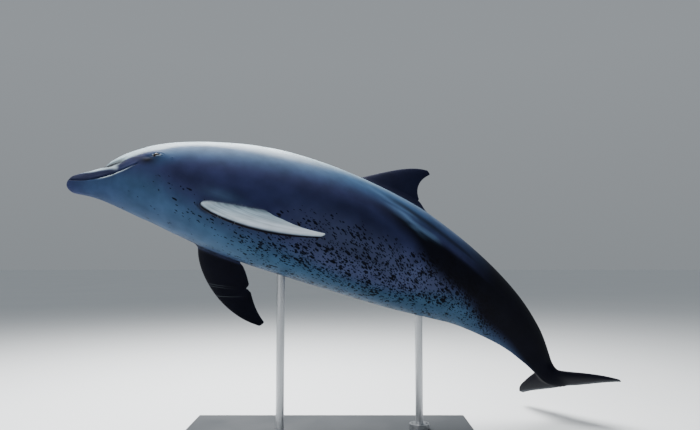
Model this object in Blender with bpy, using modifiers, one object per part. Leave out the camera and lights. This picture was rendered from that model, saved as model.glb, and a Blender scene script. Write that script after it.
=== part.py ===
"""Life-size bottlenose dolphin, banking as it swims, on a two-rod display stand. Metres, +Z up.

The animal is shaped straight, in body coordinates: s runs from the tip of the lower jaw to the fluke
notch, y to the animal's left and z to its back. place() then bends, turns and rolls it into its pose.
The origin of the part is the middle of the stand's underside, and the nose points to -X.
"""

import math

import bmesh
import bpy
import numpy as np

# ---- Driving dimensions -----------------------------------------------------------------------
LENGTH = 2.45  # tip of the lower jaw to the fluke notch, along the spine
GAP = 0.0004  # clearance that parts two neighbouring pieces
SIDES = 36  # points round a ring of the body
SPINE_STEPS = 490  # steps of the spine curve

# Pose of the spine: distance from the jaw tip, dive angle, turn away from -X, roll to the left side
POSE = (
    (0.00, -5, -3, 47),
    (0.35, 7, 2, 41),
    (0.75, 15, 11, 29.5),
    (1.10, 19, 20, 20),
    (1.50, 23, 21.5, 11),
    (1.85, 33, 21, 10),
    (2.12, 48, 22, 9),
    (2.26, 54, 23.5, 17),
    (2.35, 30, 25, 16.5),
    (2.45, 29, 24.5, 16.5),
)
ANCHOR_AT = 1.00  # this far along the spine ...
ANCHOR = (-0.04, -0.04, 0.86)  # ... is this point of the part

# Head and body: distance, height of the back, depth of the belly, half width, ridge exponent.
# Exponent 1 is an ellipse; higher makes a keel along the back and the belly.
BODY = (
    (0.00, 0.008, 0.008, 0.008, 1.00),
    (0.10, 0.018, 0.030, 0.020, 1.00),
    (0.13, 0.050, 0.042, 0.032, 1.00),
    (0.145, 0.076, 0.052, 0.046, 1.00),
    (0.165, 0.095, 0.063, 0.066, 1.00),
    (0.20, 0.115, 0.080, 0.090, 1.00),
    (0.25, 0.137, 0.100, 0.116, 1.00),
    (0.32, 0.158, 0.124, 0.148, 1.00),
    (0.38, 0.174, 0.144, 0.168, 1.00),
    (0.45, 0.191, 0.168, 0.184, 1.00),
    (0.55, 0.214, 0.196, 0.200, 1.00),
    (0.68, 0.236, 0.217, 0.219, 1.00),
    (0.82, 0.248, 0.230, 0.231, 1.00),
    (0.98, 0.249, 0.232, 0.236, 1.00),
    (1.15, 0.245, 0.228, 0.230, 1.00),
    (1.35, 0.236, 0.218, 0.206, 1.02),
    (1.52, 0.212, 0.197, 0.173, 1.06),
    (1.72, 0.178, 0.159, 0.132, 1.15),
    (1.91, 0.146, 0.129, 0.091, 1.30),
    (2.08, 0.114, 0.094, 0.062, 1.45),
    (2.20, 0.088, 0.070, 0.046, 1.50),
    (2.29, 0.057, 0.050, 0.035, 1.40),
    (2.36, 0.032, 0.029, 0.025, 1.20),
    (2.41, 0.012, 0.012, 0.012, 1.00),
)
# The jaws, which show in front of the melon and under it: distance, top, bottom, half width
MUZZLE = (
    (0.00, 0.013, 0.033, 0.022),
    (0.04, 0.021, 0.048, 0.036),
    (0.08, 0.025, 0.059, 0.044),
    (0.12, 0.031, 0.070, 0.055),
    (0.16, 0.041, 0.083, 0.070),
    (0.20, 0.051, 0.095, 0.091),
    (0.25, 0.060, 0.110, 0.115),
    (0.32, 0.062, 0.132, 0.137),
    (0.40, 0.050, 0.148, 0.140),
    (0.50, 0.040, 0.120, 0.120),
    (2.45, 0.002, 0.002, 0.002),
)
UPPER_LIP_AT = 0.012  # the upper jaw starts this far behind the lower one
TIP_ROUNDING = 0.035  # length over which a jaw tip rounds off
MELON_FROM = 0.10  # in front of this the muzzle is the whole section
MELON_BLEND = 0.006  # softness of the crease between melon and muzzle
LEAST_RADIUS = 0.00001  # keeps a section open where a jaw has not begun

# Mouth line: distance, height
MOUTH = (
    (-0.03, 0.000),
    (0.01, -0.004),
    (0.035, -0.020),
    (0.07, -0.030),
    (0.12, -0.039),
    (0.16, -0.044),
    (0.21, -0.050),
    (0.25, -0.047),
    (0.31, -0.034),
)
MOUTH_CORNER = 0.300
# Where the melon's front meets the muzzle: distance, height, and how far it leans back per height
MELON_FOOT_AT, MELON_FOOT_HEIGHT, MELON_LEAN = 0.124, 0.03, 0.55
HEAD_REACH = 0.30  # half the size of the blocks that part the head, larger than the head
JAW_STEPS = 15  # steps of the mouth line

EYE_AT, EYE_AROUND = 0.368, 92  # distance, and degrees down from the back
EYE_RADIUS = 0.019
EYE_PROUD = 0.004  # how far the eyeball stands out of the skin
EYE_SEGMENTS, EYE_RINGS = 16, 10

BLOWHOLE_AT = 0.345  # the rear of the crescent, whose horns point to the nose
BLOWHOLE_RADIUS = 0.014
BLOWHOLE_HALF_ARC = 75
GROOVE_RADIUS = 0.0028
GROOVE_SIDES, GROOVE_STEPS = 6, 9

# Rings of the head: close at the rounded tip and at the melon's foot, wider over the cheeks
TIP_RINGS = (0.0006, 0.004, 0.010, 0.0155, 0.020, 0.030, 0.048, 0.075, 0.10)
MELON_RINGS = (0.115, 0.168, 7)
CHEEKS_AT, CHEEK_RINGS = 0.19, 9
# Where the body is parted into lengths, and how many rings each length has
NECK, WAIST, VENT, MID_TAIL, TAIL_END = 0.46, 0.99, 1.72, 2.05, 2.405
LENGTHS = {
    "chest": (NECK, WAIST, 10),
    "trunk": (WAIST, VENT, 12),
    "tail_stock_front": (VENT, MID_TAIL, 9),
    "tail_stock_rear": (MID_TAIL, TAIL_END, 12),
}

# A fin's section and its way of thinning towards the tip
FOIL_STEPS = 7
FOIL_FULLNESS, FOIL_TAPER = 2.6, 0.25  # of the section's rounded front, and of its run to the rear
FIN_EDGE = 0.0012  # half the thickness of a trailing edge
FIN_THINNING = 0.7  # power at which thickness falls towards the tip
STATION_SPREAD = 0.9  # below 1 the stations crowd towards the tip
TIP_AT = 0.985  # share of the edge curves at which a fin ends
FIN_STATIONS, FLUKE_STATIONS = 9, 11

# Fins: cubic curves of leading and trailing edge, as (along the span, along the chord)
DORSAL_LEADING = ((0.0, 0.0), (0.045, 0.12), (0.212, 0.28), (0.219, 0.396))
DORSAL_TRAILING = ((0.0, 0.49), (0.045, 0.366), (0.13, 0.336), (0.209, 0.412))
DORSAL_AT = 1.01  # front of the fin's foot
DORSAL_FOOT = 0.222  # height of the fin's foot above the spine
DORSAL_THICK = 0.030
DORSAL_SUNK, FLIPPER_SUNK = 0.06, 0.07  # how deep a foot runs into the body before it is trimmed

FLIPPER_LEADING = ((0.0, 0.0), (0.11, -0.062), (0.333, 0.0), (0.432, 0.203))
FLIPPER_TRAILING = {
    "left": ((0.0, 0.138), (0.10, 0.250), (0.262, 0.100), (0.424, 0.224)),
    "right": ((0.0, 0.075), (0.13, 0.232), (0.262, 0.112), (0.424, 0.224)),
}
FLIPPER_AT, FLIPPER_AROUND = 0.553, 142
FLIPPER_THICK = 0.034
TWIST_ABOUT = 0.10  # the line along the blade that its twist turns about, behind the leading edge
# How each flipper is held: swept back from sideways, drooped, twisted at its foot and more at its
# tip (degrees), and how far its tip bends down out of the blade (m)
FLIPPER_POSE = {"left": (30, 35.5, -14.5, -22, 0.027), "right": (28, 25, 5, -4, 0.052)}
NOTCH_AT, NOTCH_RADIUS = 0.585, 0.012  # a healed bite in the right flipper's trailing edge

FLUKE_LEADING = ((0.0, 0.0), (0.07, 0.038), (0.23, 0.082), (0.291, 0.168))
FLUKE_TRAILING = ((0.0, 0.155), (0.06, 0.186), (0.19, 0.158), (0.288, 0.184))
FLUKE_AT = 2.265
FLUKE_THICK = 0.034

# Stand
BASE_SIZE = (1.20, 0.70, 0.024)
BASE_BEVEL, BEVEL_STEPS = 0.006, 3
ROD_RADIUS, ROD_SIDES = 0.016, 28
COLLAR_RADIUS, COLLAR_HEIGHT = 0.042, 0.022
ROD_AT = {"front": 0.84, "rear": 1.47}  # distance along the spine that each rod stands under

SHARP_EDGE = 50  # degrees between faces from which an edge is shaded sharp

TAILWARD, LEFT, UP = np.eye(3)  # body coordinates

# Finishes: colour, roughness, metallic
BACK_SKIN = ((0.10, 0.13, 0.19, 1), 0.35, 0.0)
BELLY_SKIN = ((0.36, 0.43, 0.48, 1), 0.35, 0.0)
DARK_EYE = ((0.02, 0.016, 0.014, 1), 0.08, 0.0)
PAINTED_BOARD = ((0.16, 0.17, 0.18, 1), 0.45, 0.0)
BRUSHED_STEEL = ((0.60, 0.61, 0.63, 1), 0.30, 1.0)


# ---- Curves -----------------------------------------------------------------------------------
def along(table, x, column=1):
    """Reads a column of a table at x, on a smooth curve that doesn't overshoot its rows."""
    rows = np.asarray(table, float)
    at, value = rows[:, 0], rows[:, column]
    step = np.diff(at)
    slope = np.diff(value) / step
    lead, trail = 2 * step[1:] + step[:-1], step[1:] + 2 * step[:-1]
    rising = slope[1:] * slope[:-1] > 0
    safe = np.where(slope == 0, 1.0, slope)
    tangent = np.concatenate([slope[:1], np.zeros(len(at) - 2), slope[-1:]])
    tangent[1:-1] = np.where(rising, (lead + trail) / (lead / safe[:-1] + trail / safe[1:]), 0)
    x = np.clip(x, at[0], at[-1])
    i = np.clip(np.searchsorted(at, x) - 1, 0, len(step) - 1)
    t = (x - at[i]) / step[i]
    return (
        value[i] * (2 * t**3 - 3 * t**2 + 1)
        + tangent[i] * step[i] * (t**3 - 2 * t**2 + t)
        + value[i + 1] * (3 * t**2 - 2 * t**3)
        + tangent[i + 1] * step[i] * (t**3 - t**2)
    )


def bezier(points, t):
    """The point at t of a cubic curve."""
    a, b, c, d = (np.asarray(p, float) for p in points)
    return (1 - t) ** 3 * a + 3 * t * (1 - t) ** 2 * b + 3 * t**2 * (1 - t) * c + t**3 * d


def spine():
    """The posed spine: its points, and the tailward, left and back directions at each."""
    s = np.linspace(0, LENGTH, SPINE_STEPS + 1)
    dive, turn, roll = (np.radians(along(POSE, s, column)) for column in (1, 2, 3))
    tail = np.stack([np.cos(dive) * np.cos(turn), np.cos(dive) * np.sin(turn), -np.sin(dive)], 1)
    middle = tail[1:] + tail[:-1]
    middle /= np.linalg.norm(middle, axis=1)[:, None]
    point = np.concatenate([[[0, 0, 0]], np.cumsum(middle * (s[1] - s[0]), axis=0)])
    level = np.array([0, 0, 1.0]) - tail * tail[:, 2:]
    level /= np.linalg.norm(level, axis=1)[:, None]
    beside = np.cross(level, -tail)
    cos, sin = np.cos(roll)[:, None], np.sin(roll)[:, None]
    left, back = beside * cos + level * sin, level * cos - beside * sin
    point += np.array(ANCHOR) - point[round(ANCHOR_AT / LENGTH * SPINE_STEPS)]
    return point, tail, left, back


SPINE = spine()


def place(points):
    """Moves (s, y, z) body coordinates into the posed part."""
    points = np.atleast_2d(np.asarray(points, float))
    s = points[:, 0]
    inside = np.clip(s, 0, LENGTH)
    row = inside / LENGTH * SPINE_STEPS
    low = np.minimum(np.floor(row).astype(int), SPINE_STEPS - 1)
    share = (row - low)[:, None]
    origin, tail, left, back = (axis[low] * (1 - share) + axis[low + 1] * share for axis in SPINE)
    return origin + tail * (s - inside)[:, None] + left * points[:, 1:2] + back * points[:, 2:3]


def rounded(distance):
    """0 at a jaw's tip, rising like a circle to 1."""
    share = np.clip(distance / TIP_ROUNDING, 0, 1)
    return np.sqrt(1 - (1 - share) ** 2)


def skin_point(s, around, grow=0.0):
    """(y, z) of the skin at distance s, at an angle from the back: the larger of melon and muzzle."""
    s, around = np.broadcast_arrays(np.asarray(s, float), np.asarray(around, float))
    back, belly, width, ridge = (along(BODY, s, column) for column in (1, 2, 3, 4))
    sin, cos = np.sin(around), np.cos(around)
    y = width * np.sign(sin) * np.abs(sin) ** ridge
    z = np.where(cos > 0, back, belly) * cos
    radius = np.hypot(y, z)
    side, up = y / radius, z / radius
    top, bottom, half = (along(MUZZLE, s, column) for column in (1, 2, 3))
    lower, upper = rounded(s), rounded(s - UPPER_LIP_AT)
    tall = np.where(up > 0, top * upper, bottom * lower) + LEAST_RADIUS
    wide = half * np.where(up > 0, upper + (lower - upper) * (1 - np.abs(up)), lower) + LEAST_RADIUS
    muzzle = 1 / np.hypot(side / wide, up / tall)
    melon = np.where(s < MELON_FROM, np.minimum(radius, muzzle / 2), radius)
    blend = np.clip(0.5 + 0.5 * (muzzle - melon) / MELON_BLEND, 0, 1)
    fillet = MELON_BLEND * blend * (1 - blend) * np.clip(s / MELON_FROM, 0, 1)
    radius = melon * (1 - blend) + muzzle * blend + fillet + grow
    return side * radius, up * radius


# ---- Meshes -----------------------------------------------------------------------------------
def loft(name, rings):
    """A closed solid through rings of equally many points, given in body coordinates."""
    count = len(rings[0])
    mesh = bmesh.new()
    for ring in rings:
        for point in place(ring):
            mesh.verts.new(point)
    mesh.verts.ensure_lookup_table()
    for row in range(len(rings) - 1):
        for i in range(count):
            j = (i + 1) % count
            corners = (row * count + i, row * count + j, (row + 1) * count + j, (row + 1) * count + i)
            mesh.faces.new([mesh.verts[c] for c in corners])
    mesh.faces.new([mesh.verts[i] for i in reversed(range(count))])
    last = (len(rings) - 1) * count
    mesh.faces.new([mesh.verts[last + i] for i in range(count)])
    bmesh.ops.triangulate(mesh, faces=mesh.faces, quad_method="FIXED")
    bmesh.ops.recalc_face_normals(mesh, faces=mesh.faces)
    return finished(name, mesh)


def finished(name, mesh):
    data = bpy.data.meshes.new(name)
    mesh.to_mesh(data)
    mesh.free()
    return bpy.data.objects.new(name, data)


def body_rings(name, distances, grow=0.0):
    """A length of the body through rings at these distances."""
    around = np.arange(SIDES) * 2 * math.pi / SIDES
    rings = []
    for s in distances:
        y, z = skin_point(s, around, grow)
        rings.append(np.stack([np.full(SIDES, s), y, z], 1))
    return loft(name, rings)


def foil():
    """A fin's section: (share of the chord, share of the half thickness) round the loop."""
    share = (1 - np.cos(np.linspace(0, math.pi, FOIL_STEPS + 1))) / 2
    half = FOIL_FULLNESS * np.sqrt(share) * (1 - share) * (1 - FOIL_TAPER * share)
    upper = np.stack([share, half], 1)
    return np.concatenate([upper, upper[-1:0:-1] * (1, -1)])


class Blade:
    """A fin's blade: its edges, its foot, and how it twists and bends towards the tip."""

    def __init__(self, edges, foot, span_axis, chord_axis, thick, tip_twist=0.0, tip_bend=0.0):
        self.leading, self.trailing = edges
        self.foot, self.span_axis, self.chord_axis = foot, span_axis, chord_axis
        self.thick, self.tip_twist, self.tip_bend = thick, tip_twist, tip_bend

    def at(self, span, chord, out):
        """Body coordinates of points given along the span, along the chord and out of the blade."""
        share = np.clip(span / self.leading[-1][0], 0, 1)
        twist = self.tip_twist * share
        arm = chord - TWIST_ABOUT
        turned = TWIST_ABOUT + arm * np.cos(twist) - out * np.sin(twist)
        lifted = arm * np.sin(twist) + out * np.cos(twist) + self.tip_bend * share**2
        normal = np.cross(self.span_axis, self.chord_axis)
        return self.foot + sum(
            np.multiply.outer(part, axis)
            for part, axis in ((span, self.span_axis), (turned, self.chord_axis), (lifted, normal))
        )

    def solid(self, name, sunk, stations=FIN_STATIONS):
        """The blade lofted out to its tip, with its foot sunk in the body."""
        section = foil()
        on_top = np.arange(len(section)) <= FOIL_STEPS
        edge = FIN_EDGE * np.sign(section[:, 0]) * np.where(on_top, 1, -1)
        rings = []
        for station in range(-1, stations):
            t = TIP_AT * (max(station, 0) / (stations - 1)) ** STATION_SPREAD
            front, rear = bezier(self.leading, t), bezier(self.trailing, t)
            span, chord = (front + section[:, :1] * (rear - front)).T
            out = section[:, 1] * self.thick / 2 * (1 - t) ** FIN_THINNING + edge
            rings.append(self.at(span - sunk * (station < 0), chord, out))
        return loft(name, rings)


# ---- Object helpers ---------------------------------------------------------------------------
def show(obj, collection, finish):
    """Makes an object a visible part with a material of its own."""
    colour, roughness, metallic = finish
    material = bpy.data.materials.new(obj.name)
    material.use_nodes = True
    shader = material.node_tree.nodes["Principled BSDF"]
    shader.inputs["Base Color"].default_value = colour
    shader.inputs["Roughness"].default_value = roughness
    shader.inputs["Metallic"].default_value = metallic
    obj.data.materials.append(material)
    obj.data.shade_smooth()
    obj.data.set_sharp_from_angle(angle=math.radians(SHARP_EDGE))
    collection.objects.link(obj)
    return obj


def as_cutter(obj, collection):
    collection.objects.link(obj)
    obj.hide_render = True
    obj.display_type = "WIRE"
    return obj


def cut(obj, operation, cutter):
    modifier = obj.modifiers.new(f"{operation.lower()}_{cutter.name}", "BOOLEAN")
    modifier.operation = operation
    modifier.object = cutter


def ball(name, radius, centre):
    mesh = bmesh.new()
    bmesh.ops.create_uvsphere(mesh, u_segments=EYE_SEGMENTS, v_segments=EYE_RINGS, radius=radius)
    obj = finished(name, mesh)
    obj.location = centre
    return obj


def cylinder(name, radius, bottom, top, x, y):
    mesh = bmesh.new()
    size = {"radius1": radius, "radius2": radius, "depth": top - bottom}
    bmesh.ops.create_cone(mesh, cap_ends=True, segments=ROD_SIDES, **size)
    obj = finished(name, mesh)
    obj.location = (x, y, (bottom + top) / 2)
    return obj


def board(name, size):
    """A flat board that lies on the floor, with its scale applied."""
    mesh = bmesh.new()
    bmesh.ops.create_cube(mesh, size=1)
    bmesh.ops.scale(mesh, vec=size, verts=mesh.verts)
    obj = finished(name, mesh)
    obj.location = (0, 0, size[2] / 2)
    return obj


# ---- Head -------------------------------------------------------------------------------------
CHEEKS = np.linspace(CHEEKS_AT, NECK - GAP / 2, CHEEK_RINGS)
HEAD_RINGS = np.concatenate([TIP_RINGS, np.linspace(*MELON_RINGS), CHEEKS])


def jaw_block(name, raise_by, corner):
    """Everything below the mouth line and in front of its corner."""
    far = HEAD_REACH
    rings = []
    for s in np.linspace(MOUTH[0][0], corner, JAW_STEPS):
        height = float(along(MOUTH, s)) + raise_by
        rings.append([(s, -far, -far), (s, far, -far), (s, far, height), (s, -far, height)])
    return loft(name, rings)


def snout_block(name, shift):
    """Everything in front of the melon's sloping front."""
    far = HEAD_REACH
    rings = []
    for z in (-far, far):
        end = MELON_FOOT_AT + shift - MELON_LEAN * (z - MELON_FOOT_HEIGHT)
        rings.append([(-far, -far, z), (end, -far, z), (end, far, z), (-far, far, z)])
    return loft(name, rings)


def eye_centre(side):
    around = math.radians(EYE_AROUND)
    y, z = skin_point(EYE_AT, around)
    inward = (EYE_RADIUS - EYE_PROUD) / math.hypot(y, z)
    return tuple(place([(EYE_AT, side * y * (1 - inward), z * (1 - inward))])[0])


def blowhole_groove():
    """A bent tube that lies along the crescent of the blowhole, half sunk in the skin."""
    round_tube = np.arange(GROOVE_SIDES) * 2 * math.pi / GROOVE_SIDES
    rings = []
    for angle in np.radians(np.linspace(-BLOWHOLE_HALF_ARC, BLOWHOLE_HALF_ARC, GROOVE_STEPS)):
        s = BLOWHOLE_AT - BLOWHOLE_RADIUS * (1 - math.cos(angle))
        y = BLOWHOLE_RADIUS * math.sin(angle)
        crown = skin_point(s, 0.0)[1]
        z = skin_point(s, math.atan2(y, crown))[1]
        across = GROOVE_RADIUS * np.cos(round_tube)
        deep = GROOVE_RADIUS * np.sin(round_tube)
        rings.append(np.stack([s + across * math.cos(angle), y + across * math.sin(angle), z + deep], 1))
    return loft("blowhole_groove", rings)


def head_pieces(parts, cutters):
    jaw_low = as_cutter(jaw_block("jaw_block_low", -GAP / 2, MOUTH_CORNER - GAP / 2), cutters)
    jaw_high = as_cutter(jaw_block("jaw_block_high", GAP / 2, MOUTH_CORNER + GAP / 2), cutters)
    snout_front = as_cutter(snout_block("snout_block_front", -GAP / 2), cutters)
    snout_rear = as_cutter(snout_block("snout_block_rear", GAP / 2), cutters)

    lower_jaw = show(body_rings("lower_jaw", HEAD_RINGS), parts, BELLY_SKIN)
    cut(lower_jaw, "INTERSECT", jaw_low)
    upper_jaw = show(body_rings("upper_jaw", HEAD_RINGS), parts, BACK_SKIN)
    cut(upper_jaw, "DIFFERENCE", jaw_high)
    cut(upper_jaw, "INTERSECT", snout_front)
    head = show(body_rings("head", HEAD_RINGS), parts, BACK_SKIN)
    cut(head, "DIFFERENCE", jaw_high)
    cut(head, "DIFFERENCE", snout_rear)
    cut(head, "DIFFERENCE", as_cutter(blowhole_groove(), cutters))
    for side, label in ((1, "left"), (-1, "right")):
        centre = eye_centre(side)
        show(ball(f"eye_{label}", EYE_RADIUS, centre), parts, DARK_EYE)
        socket = as_cutter(ball(f"socket_{label}", EYE_RADIUS + GAP, centre), cutters)
        cut(head, "DIFFERENCE", socket)


# ---- Body, fins and flukes --------------------------------------------------------------------
def body_pieces(parts):
    for name, (start, end, rings) in LENGTHS.items():
        distances = np.linspace(start, end, rings)
        distances[0] += GAP / 2
        distances[-1] -= GAP / 2
        show(body_rings(name, distances), parts, BACK_SKIN)


def body_cutter(name, cutters):
    """The whole body behind the cheeks, a clearance larger, to trim what meets it."""
    lengths = (np.linspace(*length)[:-1] for length in LENGTHS.values())
    distances = [CHEEKS[-4:-1], *lengths, [TAIL_END]]
    return as_cutter(body_rings(name, np.concatenate(distances), grow=GAP), cutters)


def flipper_blade(side, label):
    *angles, tip_bend = FLIPPER_POSE[label]
    sweep, droop, twist, tip_twist = np.radians(angles)
    flat = math.cos(sweep)
    span_axis = np.array([math.sin(sweep), side * flat * math.cos(droop), -flat * math.sin(droop)])
    chord_axis = TAILWARD - span_axis * span_axis[0]
    chord_axis /= np.linalg.norm(chord_axis)
    across = np.cross(span_axis, chord_axis)
    chord_axis = chord_axis * math.cos(twist) + across * side * math.sin(twist)
    y, z = skin_point(FLIPPER_AT, math.radians(FLIPPER_AROUND))
    foot = np.array([FLIPPER_AT, side * y, z])
    edges = (FLIPPER_LEADING, FLIPPER_TRAILING[label])
    return Blade(edges, foot, span_axis, chord_axis, FLIPPER_THICK, side * tip_twist, side * tip_bend)


def fins(parts, cutters, body):
    edges, foot = (DORSAL_LEADING, DORSAL_TRAILING), np.array([DORSAL_AT, 0, DORSAL_FOOT])
    dorsal = Blade(edges, foot, UP, TAILWARD, DORSAL_THICK).solid("dorsal_fin", DORSAL_SUNK)
    cut(show(dorsal, parts, BACK_SKIN), "DIFFERENCE", body)

    for side, label in ((1, "left"), (-1, "right")):
        blade = flipper_blade(side, label)
        flipper = show(blade.solid(f"flipper_{label}", FLIPPER_SUNK), parts, BACK_SKIN)
        cut(flipper, "DIFFERENCE", body)
    span, chord = bezier(blade.trailing, NOTCH_AT)
    bite = place([blade.at(span, chord, 0.0)])[0]
    cut(flipper, "DIFFERENCE", as_cutter(ball("bite", NOTCH_RADIUS, bite), cutters))

    for side, label in ((1, "left"), (-1, "right")):
        edges, foot = (FLUKE_LEADING, FLUKE_TRAILING), np.array([FLUKE_AT, side * GAP / 2, 0])
        fluke = Blade(edges, foot, LEFT * side, TAILWARD, FLUKE_THICK)
        fluke = show(fluke.solid(f"fluke_{label}", 0.0, FLUKE_STATIONS), parts, BACK_SKIN)
        cut(fluke, "DIFFERENCE", body)


# ---- Stand ------------------------------------------------------------------------------------
def stand(parts, body):
    base = show(board("stand_base", BASE_SIZE), parts, PAINTED_BOARD)
    bevel = base.modifiers.new("rounded_edges", "BEVEL")
    bevel.width, bevel.segments = BASE_BEVEL, BEVEL_STEPS

    foot = BASE_SIZE[2] + GAP
    shoulder = foot + COLLAR_HEIGHT
    for label, distance in ROD_AT.items():
        x, y, top = place([(distance, 0, 0)])[0]
        collar = cylinder(f"stand_collar_{label}", COLLAR_RADIUS, foot, shoulder, x, y)
        show(collar, parts, BRUSHED_STEEL)
        rod = cylinder(f"stand_rod_{label}", ROD_RADIUS, shoulder + GAP, top, x, y)
        cut(show(rod, parts, BRUSHED_STEEL), "DIFFERENCE", body)


def main():
    for obj in list(bpy.data.objects):
        bpy.data.objects.remove(obj)
    parts = bpy.data.collections.new("bottlenose_dolphin")
    cutters = bpy.data.collections.new("cutters")
    for collection in (parts, cutters):
        bpy.context.scene.collection.children.link(collection)
    body = body_cutter("grown_body", cutters)
    head_pieces(parts, cutters)
    body_pieces(parts)
    fins(parts, cutters, body)
    stand(parts, body)


main()
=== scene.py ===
"""Life-size bottlenose dolphin on a display stand: the finish of every surface, and the stage.

The skin is one mesh. It is drawn straight, in body coordinates: s runs from the tip of the lower jaw to
the fluke notch, y to the animal's left and z to its back. The fins are joined to it and blended in, and
place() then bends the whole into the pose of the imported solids. All lengths are in metres.
"""

import math

import bmesh
import bpy
import numpy as np
from bpy.props import FloatProperty, FloatVectorProperty, IntProperty, PointerProperty, StringProperty
from mathutils.bvhtree import BVHTree
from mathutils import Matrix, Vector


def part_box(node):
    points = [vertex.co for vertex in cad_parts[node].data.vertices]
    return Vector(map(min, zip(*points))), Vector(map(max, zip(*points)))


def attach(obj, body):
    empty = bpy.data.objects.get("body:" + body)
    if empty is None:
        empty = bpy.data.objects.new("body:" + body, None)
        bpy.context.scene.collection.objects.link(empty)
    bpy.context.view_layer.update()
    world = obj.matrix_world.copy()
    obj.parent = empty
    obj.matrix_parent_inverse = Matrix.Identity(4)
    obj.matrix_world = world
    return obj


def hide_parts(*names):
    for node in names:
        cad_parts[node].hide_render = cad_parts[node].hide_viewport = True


bl_info = {
    "name": "Bottlenose dolphin model",
    "version": (1, 0, 0),
    "blender": (4, 5, 0),
    "location": "3D View > Sidebar > Dolphin",
    "description": "Builds the skin, eyes, stand finish and stage of a museum dolphin",
    "category": "Object",
}

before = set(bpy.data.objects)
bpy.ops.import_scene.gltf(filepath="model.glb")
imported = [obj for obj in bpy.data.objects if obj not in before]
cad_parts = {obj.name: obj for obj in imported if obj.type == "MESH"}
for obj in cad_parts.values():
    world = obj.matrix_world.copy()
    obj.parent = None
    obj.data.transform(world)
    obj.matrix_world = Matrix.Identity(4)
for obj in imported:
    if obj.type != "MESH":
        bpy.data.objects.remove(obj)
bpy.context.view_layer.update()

FLESH = (
    "upper_jaw", "lower_jaw", "head", "chest", "trunk", "tail_stock_front", "tail_stock_rear", "dorsal_fin",
    "flipper_left", "flipper_right", "fluke_left", "fluke_right",
)
SIDES = {"left": 1, "right": -1}

# ---- The body's shape, as the solids have it ----------------------------------------------------
LENGTH = 2.45  # tip of the lower jaw to the fluke notch, along the spine
SPINE_STEPS = 490
# Pose of the spine: distance from the jaw tip, dive angle, turn away from -X, roll to the left side
POSE = (
    (0.00, -5, -3, 47),
    (0.35, 7, 2, 41),
    (0.75, 15, 11, 29.5),
    (1.10, 19, 20, 20),
    (1.50, 23, 21.5, 11),
    (1.85, 33, 21, 10),
    (2.12, 48, 22, 9),
    (2.26, 54, 23.5, 17),
    (2.35, 30, 25, 16.5),
    (2.45, 29, 24.5, 16.5),
)
ANCHOR_AT = 1.00  # this far along the spine ...
ANCHOR = (-0.04, -0.04, 0.86)  # ... is this point of the part

# Head and body: distance, height of the back, depth of the belly, half width, ridge exponent
BODY = (
    (0.00, 0.008, 0.008, 0.008, 1.00),
    (0.10, 0.018, 0.030, 0.020, 1.00),
    (0.13, 0.050, 0.042, 0.032, 1.00),
    (0.145, 0.076, 0.052, 0.046, 1.00),
    (0.165, 0.095, 0.063, 0.066, 1.00),
    (0.20, 0.115, 0.080, 0.090, 1.00),
    (0.25, 0.137, 0.100, 0.116, 1.00),
    (0.32, 0.158, 0.124, 0.148, 1.00),
    (0.38, 0.174, 0.144, 0.168, 1.00),
    (0.45, 0.191, 0.168, 0.184, 1.00),
    (0.55, 0.214, 0.196, 0.200, 1.00),
    (0.68, 0.236, 0.217, 0.219, 1.00),
    (0.82, 0.248, 0.230, 0.231, 1.00),
    (0.98, 0.249, 0.232, 0.236, 1.00),
    (1.15, 0.245, 0.228, 0.230, 1.00),
    (1.35, 0.236, 0.218, 0.206, 1.02),
    (1.52, 0.212, 0.197, 0.173, 1.06),
    (1.72, 0.178, 0.159, 0.132, 1.15),
    (1.91, 0.146, 0.129, 0.091, 1.30),
    (2.08, 0.114, 0.094, 0.062, 1.45),
    (2.20, 0.088, 0.070, 0.046, 1.50),
    (2.29, 0.057, 0.050, 0.035, 1.40),
    (2.36, 0.032, 0.029, 0.025, 1.20),
    (2.41, 0.012, 0.012, 0.012, 1.00),
)
# The jaws, which show in front of the melon and under it: distance, top, bottom, half width
MUZZLE = (
    (0.00, 0.013, 0.033, 0.022),
    (0.04, 0.021, 0.048, 0.036),
    (0.08, 0.025, 0.059, 0.044),
    (0.12, 0.031, 0.070, 0.055),
    (0.16, 0.041, 0.083, 0.070),
    (0.20, 0.051, 0.095, 0.091),
    (0.25, 0.060, 0.110, 0.115),
    (0.32, 0.062, 0.132, 0.137),
    (0.40, 0.050, 0.148, 0.140),
    (0.50, 0.040, 0.120, 0.120),
    (2.45, 0.002, 0.002, 0.002),
)
UPPER_LIP_AT = 0.012  # the upper jaw starts this far behind the lower one
TIP_ROUNDING = 0.035  # length over which a jaw tip rounds off
MELON_FROM = 0.10  # in front of this the muzzle is the whole section
MELON_BLEND = 0.006  # softness of the crease between melon and muzzle
LEAST_RADIUS = 0.00001
TAIL_END, TAIL_ROUNDING = 2.405, 0.03

# Mouth line: distance, height
MOUTH = (
    (-0.03, 0.000), (0.01, -0.004), (0.035, -0.020), (0.07, -0.030), (0.12, -0.039), (0.16, -0.044),
    (0.21, -0.050), (0.25, -0.047), (0.31, -0.034),
)
MOUTH_CORNER = 0.300
EYE_AT, EYE_AROUND = 0.368, 92  # distance, and degrees down from the back
PUPIL_WIDTH = 1.7  # length over height
CORNEA_RISE, CORNEA_REACH = 0.045, 0.16  # shares of the radius, and of the half turn from front to back
BLOWHOLE_AT, BLOWHOLE_RADIUS, BLOWHOLE_HALF_ARC = 0.345, 0.014, 75

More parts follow.
